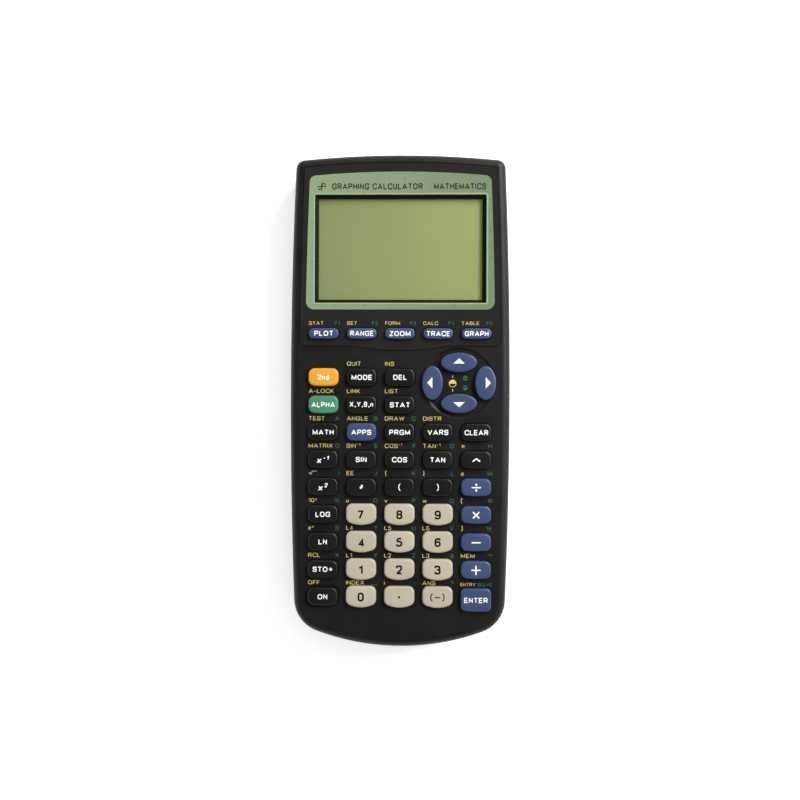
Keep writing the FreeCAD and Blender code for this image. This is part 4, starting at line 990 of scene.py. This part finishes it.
# legends that are drawn from plain shapes, each as the outlines of its parts
DRAWN = {
    "÷": [LEVEL_BAR, disc(DOT_LEVEL, DOT_RADIUS), disc(-DOT_LEVEL, DOT_RADIUS)],
    "×": [band((-CROSS_REACH, -CROSS_REACH * way), (CROSS_REACH, CROSS_REACH * way)) for way in (1, -1)],
    "−": [LEVEL_BAR],
    "+": [LEVEL_BAR, band((0.0, -BAR_REACH), (0.0, BAR_REACH))],
    "^": [band((CARET_FOOT[0] * way, CARET_FOOT[1]), (CARET_TIP[0] * way, CARET_TIP[1])) for way in (-1, 1)],
    ".": [disc(0.0, POINT_RADIUS)],
}
WORD_HEIGHT = 1.95
DIGIT_HEIGHT = 3.35
DIGIT_BOLD = 0.2
LEGEND_BOLD = 0.185
LEAN = 0.2
SLANT = Matrix(((1, LEAN, 0, 0), (0, 1, 0, 0), (0, 0, 1, 0), (0, 0, 0, 1)))
LEGEND_WIDTH = 8.8
# how far a print's middle is above each family of key, and how high its capitals are
PRINT_PLACES = {
    "plain": (1.75, 1.55),
    "number": (1.1, 1.55),
    "function": (1.9, 1.3),
    "enter": (1.3, 1.2),
}
LETTER_OVERHANG = 0.35
LETTER_ROOM = 2.2
PRINT_MARGIN = 0.15
PRINT_BOLD = 0.13
PRINT_WIDE = 1.15


def make_legend(node, family, legend):
    """The mesh of a key's print, round the origin, in millimetres."""
    if family == "cursor":
        return triangle(*CURSORS[node])
    if legend in DRAWN:
        return layered([filled(loop) for loop in DRAWN[legend]])
    usual = (DIGIT_HEIGHT, DIGIT_BOLD) if family == "number" else (WORD_HEIGHT, LEGEND_BOLD)
    height, bold = SIZES.get(legend, usual)
    mesh = text(legend, height, bold, LEGEND_WIDTH)
    if "x" in legend:
        mesh.transform(SLANT)
    return centred(mesh)


def make_key(node, family, legend):
    """The cap that stands for a key's CAD node, and the print on its top."""
    slot = frame["nodes"][node]["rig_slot"]
    points, faces = make_cap(node, family)
    mesh = bpy.data.meshes.new(f"cap_{node}")
    mesh.from_pydata(points, [], faces)
    smooth(mesh)
    cap = add_piece(f"cap_{node}", mesh, SLOTS[slot], node, slot)
    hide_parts(node)
    middle = middle_of(node)
    legend_mesh = make_legend(node, family, legend)
    printed = join(f"legend_{node}", [moved(legend_mesh, middle.x, middle.y)], finished=True)
    drape(printed, BVHTree.FromPolygons(points, faces))
    add_piece(f"legend_{node}", printed, BLACK_INK if slot == "key_cream" else WHITE_INK, node, slot)


def print_above(node, family, words, letter):
    """The second meaning and the letter over a key, as (yellow meshes, green meshes)."""
    low, high = box_of(node)
    left, right, top = low.x + FLANGE_MARGIN, high.x - FLANGE_MARGIN, high.y - FLANGE_MARGIN
    gap, height = PRINT_PLACES[family]
    level = top + gap - height / 2
    half = (right - left) / 2 - PRINT_MARGIN
    yellow, green = [], []
    if words:
        room = half if len(letter) > 2 else right - left - (LETTER_ROOM if letter else 0.0)
        yellow.append(moved(text(words, height, PRINT_BOLD, room, PRINT_WIDE), left, level))
    if letter:
        mesh = text(letter, height, PRINT_BOLD, half, PRINT_WIDE)
        green.append(moved(mesh, right + LETTER_OVERHANG - extent(mesh)[1], level))
    return yellow, green


# -------- display surround

SIDE_RADIUS = 2000.0
TOP_RADIUS = 368.0
SURROUND_SIDE_INSET = 5.65
SURROUND_TOP_INSET = 6.7
SURROUND_LOW_MARGIN = 2.4
SURROUND_TOP_CORNER = 2.4
SURROUND_LOW_CORNER = 3.0
SURROUND_SIDE_STEPS = 5
SURROUND_TOP_STEPS = 3
SURROUND_TOP_STEP = 8.0
OPENING_WIDTH = 64.6
OPENING_HEIGHT = 40.8
WIDEST_Y = 4.0
CORNER_WAYS = [(1, -1), (1, 1), (-1, 1), (-1, -1)]


def rounded(corners, radii, steps=6):
    """A loop of points round a polygon whose corners are rounded by the radii, where these aren't 0."""
    points = []
    for index, (corner, radius) in enumerate(zip(corners, radii)):
        corner = Vector(corner)
        if not radius:
            points.append(tuple(corner))
            continue
        before = (Vector(corners[index - 1]) - corner).normalized()
        after = (Vector(corners[(index + 1) % len(corners)]) - corner).normalized()
        half = before.angle(after) / 2
        centre = corner + (before + after).normalized() * radius / math.sin(half)
        start = corner + before * radius / math.tan(half) - centre
        end = corner + after * radius / math.tan(half) - centre
        for step in range(steps + 1):
            point = start.lerp(end, step / steps).normalized() * radius + centre
            points.append(tuple(point))
    return points


def surround_outline():
    """The printed frame's outer edge: sides and top run alongside the case's, and the bottom is straight."""
    high = Vector(cad_box[1]) / MM
    radius = SIDE_RADIUS - SURROUND_SIDE_INSET
    centre_x = high.x - SIDE_RADIUS
    top_radius, top_centre = TOP_RADIUS - SURROUND_TOP_INSET, high.y - TOP_RADIUS
    bottom = middle_of("display_window").y - OPENING_HEIGHT / 2 - SURROUND_LOW_MARGIN

    def side(y):
        return centre_x + math.sqrt(radius**2 - (y - WIDEST_Y) ** 2)

    corner_x = side(top_centre + top_radius)
    corner_y = top_centre + math.sqrt(top_radius**2 - corner_x**2)
    shares = [step / SURROUND_SIDE_STEPS for step in range(SURROUND_SIDE_STEPS + 1)]
    heights = [bottom + (corner_y - bottom) * share for share in shares]
    right = [(side(y), y) for y in heights]
    across = [SURROUND_TOP_STEP * step for step in range(SURROUND_TOP_STEPS, -SURROUND_TOP_STEPS - 1, -1)]
    top = [(x, top_centre + math.sqrt(top_radius**2 - x**2)) for x in across]
    left = [(-x, y) for x, y in reversed(right)]
    corners = right + top + left
    radii = [0.0] * len(corners)
    radii[0] = radii[-1] = SURROUND_LOW_CORNER
    radii[len(right) - 1] = radii[-len(left)] = SURROUND_TOP_CORNER
    return rounded(corners, radii)


def rectangle(grow):
    """The corners of the display opening, moved outwards."""
    middle = middle_of("display_window")
    half_width, half_height = OPENING_WIDTH / 2 + grow, OPENING_HEIGHT / 2 + grow
    return [(middle.x + half_width * a, middle.y + half_height * b) for a, b in CORNER_WAYS]


LIP_WIDTH = 0.55
LIP_RISE = 0.16
LIP_CORNER = 0.5
LIP_TUCK = 0.1
WELL_DEPTH = 1.5


def make_lip(plate_top):
    """A raised bead that runs round the display opening, in a lighter copy of the frame's colour that paints
    a highlight along it.
    """
    section = [
        (LIP_WIDTH, 0.0),
        (LIP_WIDTH * 0.8, LIP_RISE * 0.8),
        (LIP_WIDTH * 0.5, LIP_RISE),
        (LIP_WIDTH * 0.2, LIP_RISE * 0.8),
        (-LIP_TUCK, -LIP_RISE),
        (-LIP_TUCK, -LIP_RISE * 3),
        (LIP_WIDTH, -LIP_RISE),
    ]
    loops = [
        [(x, y, plate_top + z) for x, y in rounded(rectangle(grow), [LIP_CORNER + grow] * 4)]
        for grow, z in section
    ]
    count = len(loops[0])
    points = [Vector(point) * MM for loop in loops for point in loop]
    faces = []
    for index in range(len(loops)):
        faces += belt(index * count, (index + 1) % len(loops) * count, count)
    mesh = bpy.data.meshes.new("display_lip")
    mesh.from_pydata(points, [], [face[::-1] for face in faces])
    smooth(mesh)
    return mesh


TITLE_Y_GAP = 3.0
TITLE_HEIGHT = 2.35
TITLE_BOLD = 0.19
TITLE_LEFT = -25.7
TITLE_WIDTH = 34.0
SUBTITLE_RIGHT = 32.0
SUBTITLE_WIDTH = 19.5
GLYPH_X = -29.6
GLYPH_REACH = 1.6
GLYPH_STROKE = 0.32
WAVE_RISE = 1.2
WAVE_STROKE = 0.512
WAVE_STEPS = 24


def curve_glyph():
    """A small pair of axes with a wave across them, round the origin."""
    upright = band((0.0, -GLYPH_REACH), (0.0, GLYPH_REACH), GLYPH_STROKE)
    level = band((-GLYPH_REACH, 0.0), (GLYPH_REACH, 0.0), GLYPH_STROKE)
    spots = [2 * step / WAVE_STEPS - 1 for step in range(WAVE_STEPS + 1)]
    wave = [(GLYPH_REACH * spot, WAVE_RISE * math.sin(math.pi * spot)) for spot in spots]
    above = [(x, y + WAVE_STROKE / 2) for x, y in wave]
    below = [(x, y - WAVE_STROKE / 2) for x, y in reversed(wave)]
    return [filled(outline) for outline in (upright, level, above + below)]


def add_print(name, meshes, material, slot):
    """A printed piece on the case out of meshes in millimetres."""
    add_piece(name, join(name, meshes, finished=True), material, CASE_BODY, slot)


def make_surround():
    """Everything printed on the faceplate round the display, and the lip of the opening."""
    plate_top = box_of("faceplate")[1].z
    sheet = moved(filled(surround_outline(), rectangle(LIP_WIDTH / 2)), 0, 0, plate_top)
    add_print("display_surround", [sheet], FRAME_INK_SHADED_RIGHT, "faceplate_gloss")
    add_piece("display_lip", make_lip(plate_top), LIP_HIGHLIGHT_INK, CASE_BODY, "faceplate_gloss")
    middle_y = middle_of("display_window").y + OPENING_HEIGHT / 2 + TITLE_Y_GAP
    low_y = middle_y - TITLE_HEIGHT / 2
    title = moved(text("GRAPHING CALCULATOR", TITLE_HEIGHT, TITLE_BOLD, TITLE_WIDTH), TITLE_LEFT, low_y)
    subtitle = text("MATHEMATICS", TITLE_HEIGHT, TITLE_BOLD, SUBTITLE_WIDTH)
    moved(subtitle, SUBTITLE_RIGHT - extent(subtitle)[1], low_y)
    glyph = [moved(mesh, GLYPH_X, middle_y) for mesh in curve_glyph()]
    marks = [moved(mesh, 0, 0, plate_top + INK_RISE) for mesh in (title, subtitle, *glyph)]
    add_print("display_title", marks, DARK_INK, "faceplate_gloss")


# -------- cursor pad symbols

# where the symbols stand from the pad's middle
CONTRAST_PLACE = (-2.35, -0.2)
PAGE_PLACE = (2.4, 1.9)
CONTRAST_RADIUS = 1.4
HOLLOW_SHARE = 0.78
HOLLOW_DROP = 0.1
CONTRAST_STEPS = 32
TICK = 0.3
TICK_REACH = (2.1, 3.0)
ARROW_HALF = 1.15
ARROW_FOOT = -0.05
ARROW_TIP = 1.05
BAR_HALF = 0.75
BAR_LEVEL = -0.65
BAR_THICK = 0.5


def contrast_symbol():
    """A disc with a hollow lower half, between two ticks."""
    radius = CONTRAST_RADIUS * HOLLOW_SHARE
    bowl = arc((0.0, -HOLLOW_DROP), radius, FULL_TURN / 2, FULL_TURN, CONTRAST_STEPS // 2)
    near, far = TICK_REACH
    ticks = [filled(band((0.0, near * way), (0.0, far * way), TICK)) for way in (1, -1)]
    round_part = filled(disc(0.0, CONTRAST_RADIUS, CONTRAST_STEPS), [*bowl, (radius, -HOLLOW_DROP)])
    return [round_part, *ticks]


def page_symbol(way):
    """An arrowhead over a bar, pointing up for way 1 and down for way -1."""
    foot = ARROW_FOOT * way
    arrow = filled([(-ARROW_HALF, foot), (ARROW_HALF, foot), (0.0, ARROW_TIP * way)])
    return [arrow, filled(band((-BAR_HALF, BAR_LEVEL * way), (BAR_HALF, BAR_LEVEL * way), BAR_THICK))]


def pad_middle():
    """The middle of the box round all four cursor keys."""
    boxes = [box_of(node) for node in CURSORS]
    low = [min(box[0][axis] for box in boxes) for axis in range(3)]
    high = [max(box[1][axis] for box in boxes) for axis in range(3)]
    return (Vector(low) + Vector(high)) / 2


def print_panel():
    """All yellow and all green prints on the case, each colour as one piece."""
    yellow, green = [], []
    for node, (family, _, words, letter) in KEYS.items():
        more_yellow, more_green = print_above(node, family, words, letter)
        yellow += more_yellow
        green += more_green
    pad = pad_middle()
    x, y = CONTRAST_PLACE
    yellow += [moved(mesh, pad.x + x, pad.y + y) for mesh in contrast_symbol()]
    x, y = PAGE_PLACE
    for way in (1, -1):
        green += [moved(mesh, pad.x + x, pad.y + y * way) for mesh in page_symbol(way)]
    surfaces = [skin_of("front_case"), skin_of("faceplate")]
    for name, meshes, material in (("print_yellow", yellow, YELLOW_INK), ("print_green", green, GREEN_INK)):
        for mesh in meshes:
            left, right, low, high = extent(mesh)
            level = level_at((left + right) / 2 * MM, (low + high) / 2 * MM, *surfaces)
            moved(mesh, 0, 0, level / MM)
        add_print(name, meshes, material, "case_plastic")


# -------- floor, light and camera

FLOOR_REACH_M = 3.0
FLOOR_GREYS = (0.88, 0.9)
FLOOR_GLOW = 0.45
# each light's place and size in metres, its watts, and whether gloss mirrors it
LIGHTS = {
    "key_light": ((0.46, 0.56, 0.55), 0.28, 6.8, True),
    "rim_light": ((0.5, 0.16, 0.5), 0.1, 2.2, True),
    "ceiling": ((0.1, 0.1, 1.6), 1.6, 12.0, False),
}
# how bright the sky is at a height, as the sine of its elevation
SKY = {0.0: 0.95, 0.42: 0.85, 0.66: 0.16, 1.0: 0.05}
# the camera hangs a little to the right of the middle, and its turns in degrees leave it all but upright
CAMERA_PLACE_M = (0.0103, -0.0026, 0.4388)
CAMERA_TURNS = (0.374, 1.403, 0.198)
LENS = 50.2
SENSOR = 36.0
NEAREST_M = 0.01


def make_floor():
    """A pale, softly glowing floor that can't be seen from below, so that the underside shows."""
    mesh = bpy.data.meshes.new("floor")
    corners = [(FLOOR_REACH_M * a, FLOOR_REACH_M * b, 0.0) for a, b in CORNER_WAYS]
    mesh.from_pydata(corners, [], [(0, 1, 2, 3)])
    floor = bpy.data.objects.new("floor", mesh)
    bpy.context.scene.collection.objects.link(floor)
    shader = Shader("floor")
    darker, lighter = [scaled(WHITE, grey) for grey in FLOOR_GREYS]
    shader.set("Base Color", shader.mix(shader.noise(40.0), darker, lighter))
    shader.set("Roughness", 0.8)
    shader.set("Specular IOR Level", 0.1)
    shader.set("Emission Color", WHITE)
    shader.set("Emission Strength", FLOOR_GLOW)
    behind = shader.add("NewGeometry").outputs["Backfacing"]
    clear = shader.add("BsdfTransparent").outputs[0]
    shader.show(shader.add("MixShader", {0: behind, 1: shader.surface.outputs[0], 2: clear}))
    mesh.materials.append(shader.material)


def add_softbox(name, place, size, watts, mirrored):
    """A square area light that faces the middle of the object."""
    light = bpy.data.lights.new(name, "AREA")
    light.size = size
    light.energy = watts
    lamp = bpy.data.objects.new(name, light)
    lamp.location = place
    lamp.rotation_euler = (-Vector(place)).to_track_quat("-Z", "Y").to_euler()
    lamp.visible_glossy = mirrored
    bpy.context.scene.collection.objects.link(lamp)


def make_world():
    """A sky that is bright near the horizon and dim overhead."""
    world = bpy.data.worlds.new("studio")
    bpy.context.scene.world = world
    world.use_nodes = True
    tree = world.node_tree
    place = tree.nodes.new("ShaderNodeTexCoord").outputs["Generated"]
    split = tree.nodes.new("ShaderNodeSeparateXYZ")
    tree.links.new(place, split.inputs[0])
    ramp = tree.nodes.new("ShaderNodeValToRGB")
    tree.links.new(split.outputs["Z"], ramp.inputs[0])
    stops = ramp.color_ramp.elements
    while len(stops) < len(SKY):
        stops.new(0.5)
    for stop, (height, level) in zip(stops, SKY.items()):
        stop.position = height
        stop.color = (level, level, level, 1.0)
    tree.links.new(ramp.outputs[0], tree.nodes["Background"].inputs["Color"])


def make_camera():
    camera = bpy.data.cameras.new("camera")
    camera.lens = LENS
    camera.sensor_width = SENSOR
    camera.clip_start = NEAREST_M
    seat = bpy.data.objects.new("camera", camera)
    seat.location = CAMERA_PLACE_M
    seat.rotation_euler = [math.radians(turn) for turn in CAMERA_TURNS]
    bpy.context.scene.collection.objects.link(seat)
    bpy.context.scene.camera = seat


def make_studio():
    make_floor()
    make_world()
    for name, (place, size, watts, mirrored) in LIGHTS.items():
        add_softbox(name, place, size, watts, mirrored)
    make_camera()
    bpy.context.scene.view_settings.view_transform = "Standard"


# -------- the whole object

paint_frame()
for node in [*KEYS, *CURSORS]:
    paint(node)
for node, (family, legend, *_) in KEYS.items():
    make_key(node, family, legend)
for node in CURSORS:
    make_key(node, "cursor", "")
make_surround()
print_panel()
make_studio()
